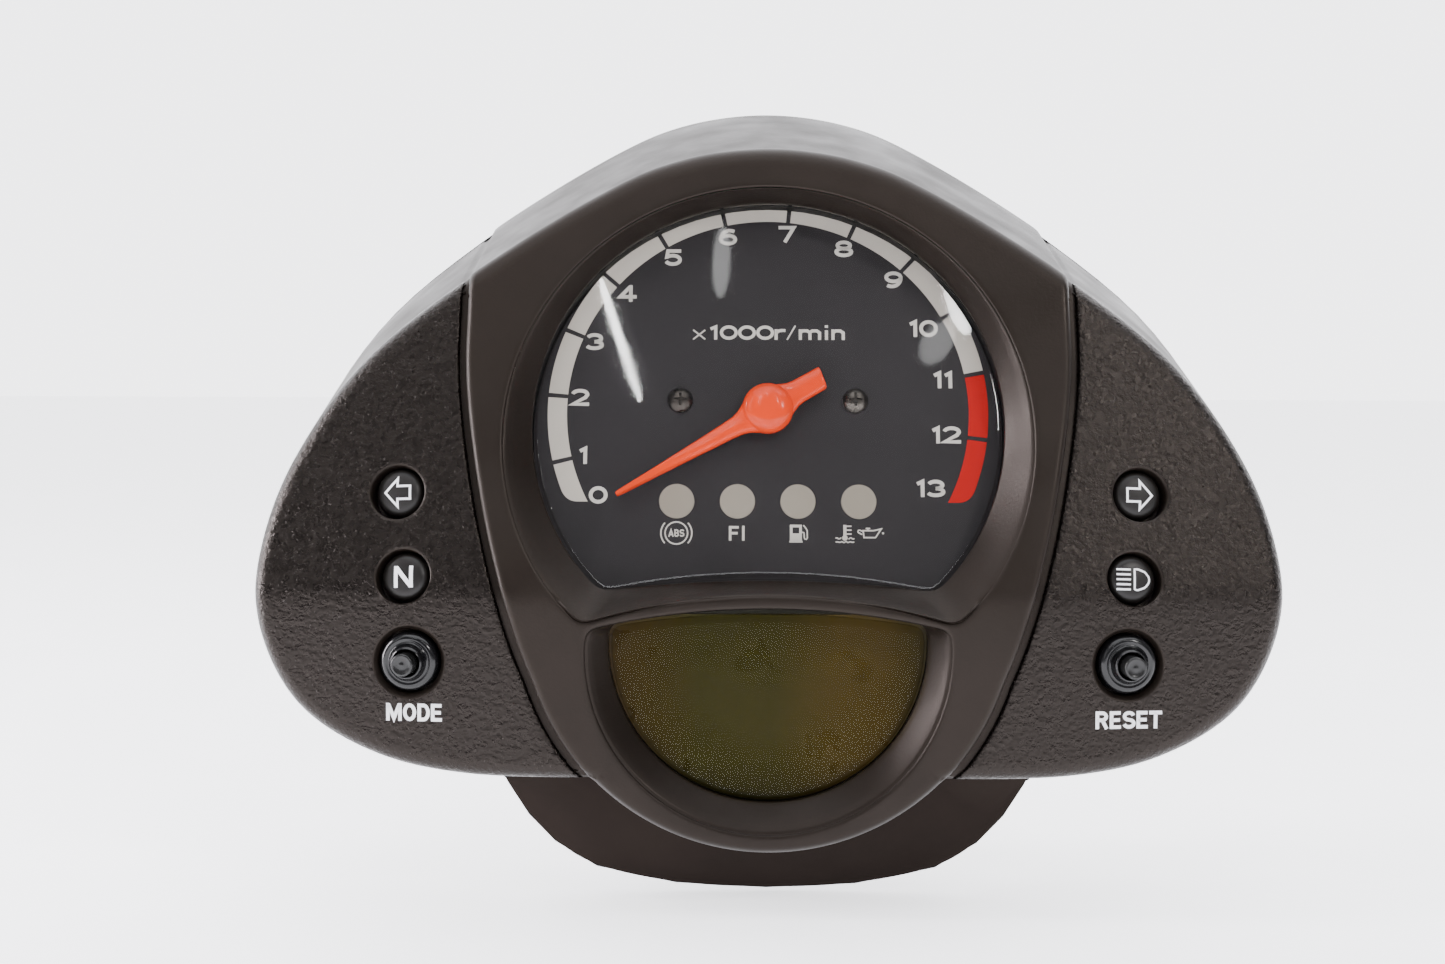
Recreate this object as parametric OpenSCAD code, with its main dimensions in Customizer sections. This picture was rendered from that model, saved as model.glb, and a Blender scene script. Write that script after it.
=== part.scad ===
// Motorcycle instrument cluster: rev counter over a display, two wings with telltales and buttons.
// X is the rider's right, Y runs from the face to the back, Z is up, all in millimetres.
// The upper face, the dial and the circuit board lean back together in the tilted frame.

/* [Housing] */
// Lean of the upper face and of everything behind it, degrees
tilt = 16; // [10:0.5:20]
// Sweep of each wing back from the centre panel, degrees
sweep = 6; // [2:0.5:12]
// Wall of the housing mouldings
wall = 2.6; // [2:0.1:3.5]
// Step from the centre panel back to the wings
step = 2; // [1:0.1:3]
// Half width of the housing at its widest
half_w = 114.2; // [105:0.1:120]
// Height of the crown above the crease
crown_h = 100.2; // [90:0.1:110]
// Drop of the wings below the crease
wing_drop = 40.8; // [36:0.1:45]
// Rise of the crown wall for each millimetre it runs back
flare = 0.29; // [0.15:0.01:0.35]
// Depth of the parting plane behind the upper face
rim_d = 44; // [40:0.5:50]
// Outer radius of the collar round the display
ring_r = 54.1; // [50:0.1:58]
// Height of the collar centre
ring_z = -2.8; // [-6:0.1:0]

/* [Rev counter] */
// Radius of the window
win_r = 53.2; // [50:0.1:56]
// Height of the window centre along the tilted face
win_s = 40.3; // [38:0.1:42]
// Depth of the sloping surround
bez_d = 7; // [5:0.1:9]
// Outer radius of the sloping surround
bez_r = 58.9; // [56:0.1:62]
// Height of the surround centre along the tilted face
bez_s = 35.7; // [33:0.1:39]
// Height of the needle axis along the tilted face
hub_s = 45.2; // [43:0.1:47]
// Depth of the dial face
dial_d = 13.5; // [12:0.1:15]
// Length of the needle from its axis to its tip
needle_l = 39.6; // [36:0.1:42]
// Angle of the needle at zero, clockwise from the top
needle_zero = -120.5; // [-135:0.5:-110]

/* [Display] */
// Radius of the display window
lcd_r = 35.3; // [33:0.1:38]
// Height of the display window centre
lcd_z = -11; // [-14:0.1:-8]
// Outer radius of its sloping surround
lcd_bez_r = 40.1; // [38:0.1:43]
// Height of that surround's centre
lcd_bez_z = -12.4; // [-15:0.1:-10]
// Depth of the display window
lcd_bez_d = 6; // [4:0.1:8]

/* [Buttons] */
// Distance from the fold of the wing to the button axis
btn_x = 29.4; // [26:0.1:33]
// Height of the button axis
btn_z = -15.2; // [-18:0.1:-12]
// Height of the plunger above the wing
btn_out = 6.1; // [4:0.1:7]
// Travel of the button
btn_travel = 1.6; // [1:0.1:2]

/* [Mounting] */
// Bore radius of each steel collar
collar_r = 3.1; // [2.6:0.1:4.1]
// Length of each steel collar
collar_l = 14; // [10:0.5:18]
// Half spacing of the two upper mounts
mount_x = 84; // [78:0.5:90]
// Height of the two upper mounts
mount_z = 20; // [14:0.5:26]
// Height of the lower mount
mount_low_z = -47; // [-50:0.5:-40]
// Depth of the plane that the three mounts share
mount_y = 66; // [62:0.5:72]

/* [Hidden] */
$fn = 96;
big = 400;
gap = 0.3;
// Telltale holes in the wings, the radius of their discs, their depth and the ball that domes them
lamp_hole_r = 6.05;
lamp_disc_r = 5.55;
lamp_in = 0.45;
lamp_ball = 22;
// Button holes: the radius inside, the sloping lip round them, the boots and their raised neck
btn_hole_r = 7.1;
btn_lip_r = 8.3;
btn_lip_d = 1.6;
boot_r = 6.6;
neck_r = 3.6;
neck_out = 2.7;
plunger_r = 2.45;
// Depth of the cups under telltales and buttons
cup_d = 5.2;
collar_body_r = 5;
collar_out = 1.2;
collar_in = collar_l - 2.1;
collar_mid = mount_y + (collar_out - collar_in) / 2;
ct = cos(tilt);
st = sin(tilt);
tt = tan(tilt);
tsw = tan(sweep);
fold_x = 50;
step_d = step * ct;

// Half of the front outline, from the crown down to the lower edge, as shares of width and height
up_pts = [[0, 1], [0.175, 0.973], [0.333, 0.895], [0.577, 0.719], [0.8, 0.515], [0.938, 0.29],
    [0.998, 0.08]];
low_pts = [[0.992, 0.233], [0.918, 0.62], [0.782, 0.865], [0.611, 0.98], [0.35, 1]];
half = concat([for (p = up_pts) [p[0] * half_w, p[1] * crown_h]],
    [for (p = low_pts) [p[0] * half_w, -p[1] * wing_drop]]);
// Half of the seam between the centre panel and a wing, top first
seam = [[67.7, 130], [67.7, 70], [67.7, 48.4], [64.9, 27.3], [60.3, 6.8], [53.3, -15.2],
    [43.7, -33.8], [38.6, -40.7]];

// Smooth curve through a list of points
function cr(a, b, c, d, t) = 0.5 * (2 * b + (c - a) * t + (2 * a - 5 * b + 4 * c - d) * t * t
    + (3 * b - a - 3 * c + d) * t * t * t);
function at(p, i) = p[max(0, min(len(p) - 1, i))];
function curve(p, n) = [for (i = [0:len(p) - 2]) for (k = [0:n - 1])
    cr(at(p, i - 1), p[i], p[i + 1], at(p, i + 2), k / n)];
function both(p) = concat(p, [for (i = [len(p) - 1:-1:0]) if (p[i][0] > 0.01) [-p[i][0], p[i][1]]]);
// The outline's half is curved as if it ran on over the crown, so that the top is level
n_curve = 5;
over_top = [-half[1][0], half[1][1]];
half_c = concat([for (k = [0:n_curve - 1]) cr(over_top, half[0], half[1], half[2], k / n_curve)],
    [for (i = [1:len(half) - 2]) for (k = [0:n_curve - 1])
        cr(half[i - 1], half[i], half[i + 1], at(half, i + 2), k / n_curve)],
    [half[len(half) - 1]]);
front_pts = both(half_c);
// Depth of the front edge at a point of the outline
function edge_y(p) = step + 3 + max(0, p[1]) * tt + max(0, abs(p[0]) - fold_x) * tsw;
// The outline on the tilted plane at depth d, as [x, s]
function slant(p, d) = let (f = p[1] > 0 ? flare : 0, y0 = edge_y(p),
    y = (d + (p[1] - f * y0) * st) / (ct - f * st), z = p[1] + f * (y - y0)) [p[0], y * st + z * ct];
function ring_at(d) = [for (p = front_pts) slant(p, d)];
// A closed outline moved inwards by w
function nrm(v) = v / norm(v);
function inset(p, w) = [for (i = [0:len(p) - 1]) let (a = p[(i + len(p) - 1) % len(p)],
    b = p[(i + 1) % len(p)], t = nrm(b - a)) p[i] + w * [t[1], -t[0]]];
function flip(p) = [for (i = [len(p) - 1:-1:0]) p[i]];

// Everything is drawn about the crease of the face, then moved so that the origin is in the lower mount
module in_row() {
    translate([0, -collar_mid, -mount_low_z])
        children();
}
// Frame of the upper face, which leans back about the crease
module T() {
    rotate([-tilt, 0, 0])
        children();
}
// Wing frames: origin on the fold, X along the wing face, Y into the wing
module wing_low(side) {
    translate([side * fold_x, step, 0])
        rotate([0, 0, side * sweep])
            children();
}
module wing_up(side) {
    T()
        translate([side * fold_x, step_d, 0])
            rotate([0, 0, side * sweep])
                children();
}
module at_button(side) {
    wing_low(side)
        translate([side * btn_x, 0, btn_z])
            children();
}
// Cylinder along Y from y0 to y1
module ycyl(r, y0, y1) {
    translate([0, y0, 0])
        rotate([-90, 0, 0])
            cylinder(r = r, h = y1 - y0);
}
module ycone(r0, r1, y0, y1) {
    translate([0, y0, 0])
        rotate([-90, 0, 0])
            cylinder(r1 = r0, r2 = r1, h = y1 - y0);
}
// Extrude a list of [x, z] points along Y from y0 to y1
module slab(p, y0, y1) {
    translate([0, y1, 0])
        rotate([90, 0, 0])
            linear_extrude(height = y1 - y0)
                polygon(p);
}
// Solid between two outlines with the same number of points, at depths y0 and y1
module loft(a, b, y0, y1) {
    n = len(a);
    polyhedron(points = concat([for (p = a) [p[0], y0, p[1]]], [for (p = b) [p[0], y1, p[1]]]),
        faces = concat([[for (i = [0:n - 1]) i]], [[for (i = [n - 1:-1:0]) n + i]],
            [for (i = [0:n - 1]) [i, n + i, n + (i + 1) % n]],
            [for (i = [0:n - 1]) [i, n + (i + 1) % n, (i + 1) % n]]));
}
// A loft from outline a at depth 0 to outline b at depth y, run on past both ends
module cone_cut(a, b, y) {
    over = 1.5;
    k = over / y;
    loft([for (i = [0:len(a) - 1]) a[i] + k * (a[i] - b[i])],
        [for (i = [0:len(a) - 1]) b[i] + k * (b[i] - a[i])], -over, y + over);
}
// Window outline: most of a circle (centre c, radius r) closed by an arch through its two corners.
// up is 1 for a window closed along its bottom and -1 for one closed along its top.
function dshape(c, r, half_x, mid, up) = let (a0 = asin(half_x / r), m = 60, k = 16,
    corner = c - up * r * cos(a0), sag = mid - corner, p = concat(
    [for (i = [0:m]) let (a = 180 - a0 - i * (360 - 2 * a0) / m) [r * sin(a), c + up * r * cos(a)]],
    [for (i = [1:k - 1]) let (x = -half_x + 2 * half_x * i / k)
        [x, corner + sag * (1 - pow(x / half_x, 2))]])) up > 0 ? flip(p) : p;
tach_in = dshape(win_s, win_r, 37.4, 4.9, 1);
tach_out = dshape(bez_s, bez_r, 41.2, 0.2, 1);
lcd_in = dshape(lcd_z, lcd_r, 35.05, -3.3, -1);
lcd_out = dshape(lcd_bez_z, lcd_bez_r, 39.8, -2.7, -1);

// Space in front of the wings, moved back by e
module front_air(e) {
    translate([-big / 2, step + e - big, -big / 2])
        cube([big, big, big]);
    T()
        translate([-big / 2, step_d + e - big, -big / 2])
            cube([big, big, big]);
    for (side = [-1, 1]) {
        wing_low(side)
            translate([-big / 2, e - big, -big / 2])
                cube([big, big, big]);
        wing_up(side)
            translate([-big / 2, e - big, -big / 2])
                cube([big, big, big]);
    }
}
// Space in front of the centre panel, moved back by e
module panel_air(e) {
    translate([-big / 2, e - big, -big / 2])
        cube([big, big, big]);
    T()
        translate([-big / 2, e - big, -big / 2])
            cube([big, big, big]);
}
rise = atan(flare);
crown_full = [for (p = front_pts) [p[0], p[1] * cos(rise) - edge_y(p) * sin(rise)]];
// The walls run straight back below the crease and back and up above it, inset by w
module body_solid(w) {
    crown = inset(crown_full, w);
    low = inset(front_pts, w);
    rotate([rise, 0, 0])
        slab([for (i = [0:len(front_pts) - 1]) if (front_pts[i][1] > -5) crown[i]], -60, 130);
    slab([for (i = [0:len(front_pts) - 1]) if (front_pts[i][1] < 7) low[i]], -10, 80);
}
// Everything behind the parting plane
module behind_rim(d) {
    T()
        translate([-big / 2, d, -big / 2])
            cube([big, big, big]);
}
seam_c = concat(curve(seam, 4), [seam[len(seam) - 1]]);
module panel_prism(w) {
    slab(inset(both(seam_c), w), -5, 90);
    translate([0, 0, ring_z])
        ycyl(ring_r - w, -5, 60);
}
// One side of the cover's wall: w is the inset of the walls, e that of the faces, p that of the panel
module cover_solid(w, e, p) {
    difference() {
        union() {
            body_solid(w);
            translate([0, 0, ring_z])
                ycyl(ring_r - p, -5, 60);
        }
        difference() {
            front_air(e);
            panel_prism(p);
        }
        panel_air(e);
        behind_rim(rim_d + p);
    }
}
boss_at = [[62, 62], [98, 10], [60, -20]];
boss_start = [1.2, 8.3, 10.3];
boss_front = [26, 26, 24];
boss_r = 3.6;
screw_r = 1.5;

module front_cover() {
    color([0.16, 0.15, 0.14]) in_row() {
        difference() {
            union() {
                difference() {
                    cover_solid(0, 0, 0);
                    cover_solid(wall, wall, 2.2);
                }
                // sloping surrounds of the two windows
                T()
                    slab(dshape(bez_s, bez_r + 1.5, 42, -0.6, 1), 0.7, bez_d);
                slab(dshape(lcd_bez_z, lcd_bez_r + 1.5, 41, -1, -1), 0.9, lcd_bez_d);
                // cups behind the telltales and the buttons
                for (side = [-1, 1]) {
                    for (q = lamp_pos)
                        wing_up(side)
                            translate([side * q[0], 0, q[1]])
                                ycyl(lamp_hole_r + 1.5, 1, cup_d + 1.8);
                    at_button(side)
                        ycyl(btn_lip_r + 1.7, 1, cup_d + 2.2);
                }
                // screw bosses
                for (side = [-1, 1])
                    for (i = [0:2])
                        T()
                            translate([side * boss_at[i][0], 0, boss_at[i][1]])
                                ycyl(boss_r, boss_start[i], rim_d);
            }
            T()
                cone_cut(tach_out, tach_in, bez_d);
            cone_cut(lcd_out, lcd_in, lcd_bez_d);
            for (side = [-1, 1]) {
                for (q = lamp_pos)
                    wing_up(side)
                        translate([side * q[0], 0, q[1]]) {
                            ycyl(lamp_hole_r, -4, cup_d - 0.2);
                            ycyl(4.2, cup_d - 0.3, cup_d + 3);
                        }
                at_button(side) {
                    ycone(btn_lip_r + 0.5, btn_hole_r, -btn_lip_d, btn_lip_d);
                    ycyl(btn_hole_r, -4, cup_d + 0.2);
                    ycyl(5.2, cup_d + 0.1, cup_d + 3);
                }
            }
            for (side = [-1, 1])
                for (i = [0:2])
                    T()
                        translate([side * boss_at[i][0], 0, boss_at[i][1]])
                            ycyl(screw_r, boss_front[i], rim_d + 1);
        }
    }
}
// Along-face offset and height of the two telltales of a wing
lamp_pos = [[32.8, 24.3], [30.8, 5.2]];

// Outline of the lower cover at its back, top left round to top right
chin_half = [[0, -60.3], [20.8, -59.3], [39.3, -55.6], [49, -50], [55.3, -43.8], [60.4, -36.4],
    [62, -33.4]];
chin_back = flip(both(chin_half));
chin_drop = 30;
// The same outline seen along the slope of the lower cover's floor
chin_v = [for (p = chin_back) let (y = rim_d * ct + p[1] * st, z = p[1] * ct - rim_d * st)
    [p[0], y * sin(chin_drop) + z * cos(chin_drop)]];
chin_y = 8;
module chin_cut() {
    translate([-big / 2, -big / 2, -wing_drop - gap])
        cube([big, big, big]);
    translate([0, 0, ring_z])
        ycyl(ring_r + gap, -20, 60);
}
module lower_cover() {
    color([0.15, 0.14, 0.13]) in_row()
        difference() {
            rotate([-chin_drop, 0, 0])
                slab(chin_v, 10, 90);
            difference() {
                rotate([-chin_drop, 0, 0])
                    slab([for (p = chin_v) [p[0] * 0.958, p[1] + 2.4]], 5, 95);
                translate([-big / 2, chin_y + 2.4 - big, -big / 2])
                    cube([big, big, big]);
            }
            translate([-big / 2, chin_y - big, -big / 2])
                cube([big, big, big]);
            chin_cut();
            behind_rim(rim_d);
        }
}
tub_half = [[40, 86], [53, 70], [65, 30], [54, -6], [44, -18]];
tub_pts = concat(tub_half, flip([for (p = tub_half) [-p[0], p[1]]]));
plate_d = rim_d + 0.15;
plate_t = 2.6;
tub_d = 62;
function square_at(r) = [[-r, -r], [-r, r], [r, r], [r, -r]];
module mount_at(i) {
    translate([i == 2 ? 0 : (i == 0 ? -mount_x : mount_x), 0, i == 2 ? mount_low_z : mount_z])
        children();
}
// Socket in the tub, its half width and half height, and the breather
conn_x = -30;
conn_s = 4;
conn_w = 14;
conn_h = 7;
vent_x = 40;
vent_s = 70;
vent_r = 3;
function box_pts(w, h) = [[-w, -h], [w, -h], [w, h], [-w, h]];
module rear_cover() {
    color([0.12, 0.12, 0.12]) in_row()
        difference() {
            union() {
                T() {
                    slab(ring_at(rim_d), plate_d, plate_d + plate_t);
                    slab(chin_back, plate_d, plate_d + plate_t);
                    translate([0, 0, -30.25])
                        slab(box_pts(61.5, 4.25), plate_d, plate_d + plate_t);
                    slab(inset(tub_pts, 0), plate_d + 1, tub_d);
                    translate([conn_x, 0, conn_s])
                        slab(box_pts(conn_w + 4, conn_h + 4), tub_d - 4, tub_d + 5);
                }
            }
            T() {
                slab(inset(tub_pts, 2.6), plate_d - 1, tub_d - 2.6);
                translate([conn_x, 0, conn_s])
                    slab(box_pts(conn_w + gap, conn_h + gap), tub_d - 6, tub_d + 8);
                for (side = [-1, 1])
                    for (q = boss_at)
                        translate([side * q[0], 0, q[1]])
                            ycyl(screw_r + 0.3, rim_d - 6, rim_d + 6);
                translate([vent_x, 0, vent_s])
                    ycyl(vent_r + 0.1, tub_d - 6, tub_d + 6);
            }
            for (i = [0:1])
                mount_at(i)
                    slab(square_at(plug_r + 0.2), 40, 60);
        }
}
// Cups on the rear cover that hold the grommets: the side ones plug into it, the lower one has two webs
cup_floor = mount_y + 1 - collar_l;
cup_top = mount_y - 2;
cup_out_r = 11;
cup_in_r = 8;
plug_r = 8;
web_y = 33;
module mount_cup(i) {
    color([0.12, 0.12, 0.12]) in_row() {
        difference() {
            union() {
                mount_at(i)
                    ycyl(cup_out_r, i == 2 ? web_y : 50, cup_top);
                if (i == 2)
                    translate([-17, web_y, mount_low_z - 1.5])
                        cube([34, 19, 3]);
            }
            mount_at(i)
                ycyl(cup_in_r, cup_floor, mount_y + 4);
            T()
                slab(square_at(big), 0, plate_d + plate_t + 0.05);
        }
        if (i < 2)
            mount_at(i)
                slab(square_at(plug_r), cup_floor - 2.5, cup_floor);
    }
}
module mount_cup_l() {
    mount_cup(0);
}
module mount_cup_r() {
    mount_cup(1);
}
module mount_cup_low() {
    mount_cup(2);
}
module tach_lens() {
    color([0.85, 0.88, 0.9]) in_row()
        T()
            difference() {
                union() {
                    slab(dshape(win_s, win_r + 2.6, 38.6, 2.9, 1), bez_d + 0.2, bez_d + 2.4);
                    intersection() {
                        slab(dshape(win_s, win_r - 0.6, 36.4, 6, 1), 0, bez_d + 1);
                        translate([0, lens_ball - 0.1 + 4.6, win_s])
                            sphere(r = lens_ball);
                    }
                }
                intersection() {
                    slab(dshape(win_s, win_r - 2.4, 34.6, 8, 1), 0, bez_d + 3);
                    translate([0, lens_ball - 0.1 + 6.8, win_s])
                        sphere(r = lens_ball);
                }
            }
}
lens_ball = 520;
module lcd_lens() {
    color([0.85, 0.88, 0.9]) in_row() {
        slab(dshape(lcd_z, lcd_r + 1.8, 36.4, -2.9, -1), lcd_bez_d + 0.5, lcd_bez_d + 2.2);
        slab(dshape(lcd_z, lcd_r - 0.7, 34.43, -4.4, -1), lcd_bez_d - 1.2, lcd_bez_d + 1);
    }
}
module tach_seal() {
    color([0.05, 0.05, 0.05]) in_row()
        T()
            difference() {
                slab(dshape(win_s, win_r + 2.4, 38.4, 3.1, 1), bez_d + 2.5, bez_d + 3.5);
                slab(dshape(win_s, win_r + 0.6, 37.4, 4.7, 1), bez_d + 2, bez_d + 4);
            }
}
module lcd_seal() {
    color([0.05, 0.05, 0.05]) in_row()
        difference() {
            slab(dshape(lcd_z, lcd_r + 1.6, 36.2, -2.6, -1), lcd_bez_d + 2.3, lcd_bez_d + 3.5);
            slab(dshape(lcd_z, lcd_r, 35, -3.6, -1), lcd_bez_d + 2, lcd_bez_d + 4);
        }
}
lamp_x = [-20.6, -6.85, 6.85, 20.6];
lamp_s = 24.3;
dial_t = 0.8;
screw_x = 20;
screw_s = 47.8;
module dial_plate() {
    color([0.18, 0.17, 0.17]) in_row()
        T()
            difference() {
                slab(dshape(win_s, win_r + 0.2, 37.2, 5.2, 1), dial_d, dial_d + dial_t);
                translate([0, 0, hub_s])
                    ycyl(3, dial_d - 1, dial_d + 2);
                for (x = lamp_x)
                    translate([x, 0, lamp_s])
                        ycyl(4.05, dial_d - 1, dial_d + 2);
                for (side = [-1, 1])
                    translate([side * screw_x, 0, screw_s])
                        ycyl(1.7, dial_d - 1, dial_d + 2);
            }
}
board_d = 31;
board_t = 1.6;
module dial_housing() {
    color([0.08, 0.08, 0.08]) in_row()
        T()
            difference() {
                union() {
                    difference() {
                        slab(dshape(win_s, win_r + 2.3, 38.3, 3.2, 1), bez_d + 3.6, board_d - 0.2);
                        slab(dshape(win_s, win_r + 0.5, 37.4, 4.9, 1), bez_d + 3, dial_d + dial_t + 0.1);
                        slab(dshape(win_s, win_r - 1.2, 35.8, 6.6, 1), dial_d, board_d + 1);
                    }
                    difference() {
                        union() {
                            for (x = lamp_x)
                                translate([x, 0, lamp_s])
                                    ycyl(5.6, dial_d + dial_t + 0.1, board_d - 0.8);
                            for (side = [-1, 1])
                                translate([side * screw_x, 0, screw_s])
                                    ycyl(4, dial_d + dial_t + 0.1, board_d - 0.2);
                            for (side = [-1, 1])
                                translate([side * 34.5, 0, screw_s])
                                    slab(box_pts(17.5, 1), dial_d + dial_t + 4, board_d - 2);
                            translate([0, 0, lamp_s])
                                slab(box_pts(51, 1), dial_d + dial_t + 4, board_d - 2);
                        }
                        for (x = lamp_x)
                            translate([x, 0, lamp_s])
                                ycyl(4.3, dial_d, board_d + 1);
                    }
                }
                for (side = [-1, 1])
                    translate([side * screw_x, 0, screw_s])
                        ycyl(1.25, dial_d, board_d - 4);
            }
}
module at_hub() {
    T()
        translate([0, 0, hub_s])
            rotate([0, needle_zero, 0])
                children();
}
module needle() {
    color([1, 0.33, 0.1]) in_row()
        at_hub() {
            difference() {
                ycyl(5.8, 8.2, 11.8);
                ycyl(shaft_r, 9.6, 12.5);
            }
            slab([[-2.3, 5], [2.3, 5], [0.55, needle_l], [-0.55, needle_l]], 9.3, 10.9);
            slab([[-2.25, -5], [2.25, -5], [2.4, -14.4], [-2.4, -14.4]], 9.3, 10.9);
        }
}
module needle_cap() {
    color([1, 0.36, 0.12]) in_row()
        at_hub()
            ycone(3.4, 4.6, 7.4, 8.2);
}
// Stepper motor: depth of the rotor, radii of shaft, rotor, bobbin and case, half width of each coil
rotor_d = 20;
shaft_r = 0.8;
rotor_r = 6;
bobbin_r = 9;
motor_r = 13;
coil_w = 3;
module motor_shaft() {
    color([0.75, 0.75, 0.76]) in_row()
        T()
            translate([0, 0, hub_s])
                ycyl(shaft_r, 9.6, 28.5);
}
module rotor_magnet() {
    color([0.25, 0.25, 0.27]) in_row()
        T()
            translate([0, 0, hub_s])
                difference() {
                    ycyl(rotor_r, rotor_d, rotor_d + 3);
                    ycyl(shaft_r, rotor_d - 1, rotor_d + 4);
                }
}
module motor_case() {
    color([0.62, 0.63, 0.64]) in_row()
        T()
            translate([0, 0, hub_s])
                difference() {
                    ycyl(motor_r, dial_d + dial_t + 0.6, board_d - 0.1);
                    ycyl(motor_r - 0.8, dial_d + dial_t + 1.5, board_d + 1);
                    ycyl(1.2, dial_d, dial_d + 4);
                }
}
module coil_bobbin() {
    color([0.75, 0.72, 0.62]) in_row()
        T()
            translate([0, 0, hub_s])
                difference() {
                    ycyl(bobbin_r, rotor_d - 3, rotor_d + 7);
                    ycyl(rotor_r + 0.4, rotor_d - 0.4, rotor_d + 3.4);
                    ycyl(1.2, rotor_d - 4, rotor_d + 8);
                }
}
module coil_inner() {
    color([0.7, 0.35, 0.15]) in_row()
        T()
            translate([0, 0, hub_s])
                difference() {
                    slab(box_pts(coil_w, 10.2), rotor_d - 3.7, rotor_d + 7.7);
                    slab(box_pts(coil_w + 1, 9.1), rotor_d - 3.1, rotor_d + 7.1);
                    ycyl(1.5, rotor_d - 6, rotor_d + 9);
                }
}
module coil_outer() {
    color([0.72, 0.38, 0.17]) in_row()
        T()
            translate([0, 0, hub_s])
                difference() {
                    slab(box_pts(11.4, coil_w), rotor_d - 4.15, rotor_d + 8.4);
                    slab(box_pts(10.35, coil_w + 1), rotor_d - 3.75, rotor_d + 7.8);
                    ycyl(1.5, rotor_d - 6, rotor_d + 10);
                }
}
module dial_screw(side) {
    color([0.1, 0.1, 0.1]) in_row()
        T()
            translate([side * screw_x, 0, screw_s])
                difference() {
                    union() {
                        intersection() {
                            ycyl(2.9, dial_d - 2, dial_d - 0.02);
                            translate([0, dial_d - 2 + 3.6, 0])
                                sphere(r = 3.6);
                        }
                        ycyl(1.2, dial_d - 0.1, dial_d + 9);
                    }
                    for (a = [0, 90])
                        rotate([0, a, 0])
                            translate([-1.5, dial_d - 3, -0.3])
                                cube([3, 1.9, 0.6]);
                }
}
module dial_screw_l() {
    dial_screw(-1);
}
module dial_screw_r() {
    dial_screw(1);
}
module warn_lens(i) {
    color([0.7, 0.69, 0.66]) in_row()
        T()
            translate([lamp_x[i], 0, lamp_s])
                ycyl(3.98, dial_d + 0.1, dial_d + 2.4);
}
module warn_lens_1() {
    warn_lens(0);
}
module warn_lens_2() {
    warn_lens(1);
}
module warn_lens_3() {
    warn_lens(2);
}
module warn_lens_4() {
    warn_lens(3);
}
module telltale(side, q) {
    color([0.07, 0.07, 0.08]) in_row()
        wing_up(side)
            translate([side * lamp_pos[q][0], 0, lamp_pos[q][1]]) {
                intersection() {
                    ycyl(lamp_disc_r, lamp_in, cup_d - 0.3);
                    translate([0, lamp_in + lamp_ball, 0])
                        sphere(r = lamp_ball);
                }
                ycyl(4.1, cup_d - 0.4, cup_d + 2.8);
            }
}
module telltale_turn_l() {
    telltale(-1, 0);
}
module telltale_neutral() {
    telltale(-1, 1);
}
module telltale_turn_r() {
    telltale(1, 0);
}
module telltale_high_beam() {
    telltale(1, 1);
}
lcd_half = [[20, -47.6], [38, -27], [38, -8], [35, -4.9]];
lcd_pts = concat([for (p = lcd_half) [-p[0], p[1]]], flip(lcd_half));
module lcd_panel() {
    color([0.36, 0.36, 0.2]) in_row()
        slab(lcd_pts, lcd_bez_d + 3.8, lcd_bez_d + 6.6);
}
module lcd_holder() {
    color([0.8, 0.8, 0.78]) in_row()
        difference() {
            slab(inset(lcd_pts, -1.2), lcd_bez_d + 3.8, lcd_bez_d + 7.9);
            slab(inset(lcd_pts, -0.1), lcd_bez_d + 3, lcd_bez_d + 6.7);
            translate([-30, lcd_bez_d + 6, -9.6])
                cube([60, 5, 3]);
        }
}
module lcd_contacts() {
    color([0.85, 0.5, 0.6]) in_row()
        translate([-29.8, lcd_bez_d + 6.7, -9.4])
            cube([59.6, 14, 2.6]);
}
module pcb() {
    color([0.08, 0.25, 0.12]) in_row()
        T()
            difference() {
                slab(inset(ring_at(board_d), 8), board_d, board_d + board_t);
                for (side = [-1, 1])
                    for (q = boss_at)
                        translate([side * q[0], 0, q[1]])
                            ycyl(boss_r + 0.6, board_d - 1, board_d + 3);
            }
}
module led(x, s, h) {
    translate([x - 1.6, board_d - h, s - 1.4])
        cube([3.2, h - 0.05, 2.8]);
}
module lamp_array() {
    color([0.95, 0.93, 0.8]) in_row()
        T() {
            for (x = lamp_x)
                led(x, lamp_s, 1.9);
            translate([-21, board_d - 0.6, lamp_s - 0.5])
                cube([42, 0.55, 1]);
            translate([-0.5, board_d - 0.6, lamp_s - 8])
                cube([1, 0.55, 8]);
            for (x = [-14, 14])
                led(x, lamp_s - 8, 1.9);
            translate([-14, board_d - 0.6, lamp_s - 8.5])
                cube([28, 0.55, 1]);
        }
}
module light_tubes(side) {
    color([0.8, 0.8, 0.75]) in_row()
        difference() {
            union() {
                wing_up(side) {
                    for (q = lamp_pos)
                        translate([side * q[0], 0, q[1]])
                            ycyl(3.6, 8.2, 30);
                    translate([side * 31.8 - 1.5, 14, 5])
                        cube([3, 6, 19]);
                }
            }
            T()
                translate([-big / 2, board_d - 0.3, -big / 2])
                    cube([big, big, big]);
        }
}
module light_tube_l() {
    light_tubes(-1);
}
module light_tube_r() {
    light_tubes(1);
}
module boot(side) {
    color([0.04, 0.04, 0.04]) in_row()
        at_button(side)
            difference() {
                union() {
                    ycyl(boot_r, -0.6, cup_d);
                    ycone(neck_r, neck_r + 1.1, -neck_out, -0.6);
                }
                ycyl(plunger_r + gap, -4, cup_d + 1);
                ycyl(4.4, 1.6, cup_d + 1);
            }
}
module plunger(side) {
    color([0.05, 0.05, 0.05]) in_row()
        at_button(side) {
            ycyl(plunger_r, -btn_out, 14);
            ycyl(3.9, 3.5, 4.7);
        }
}
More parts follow.
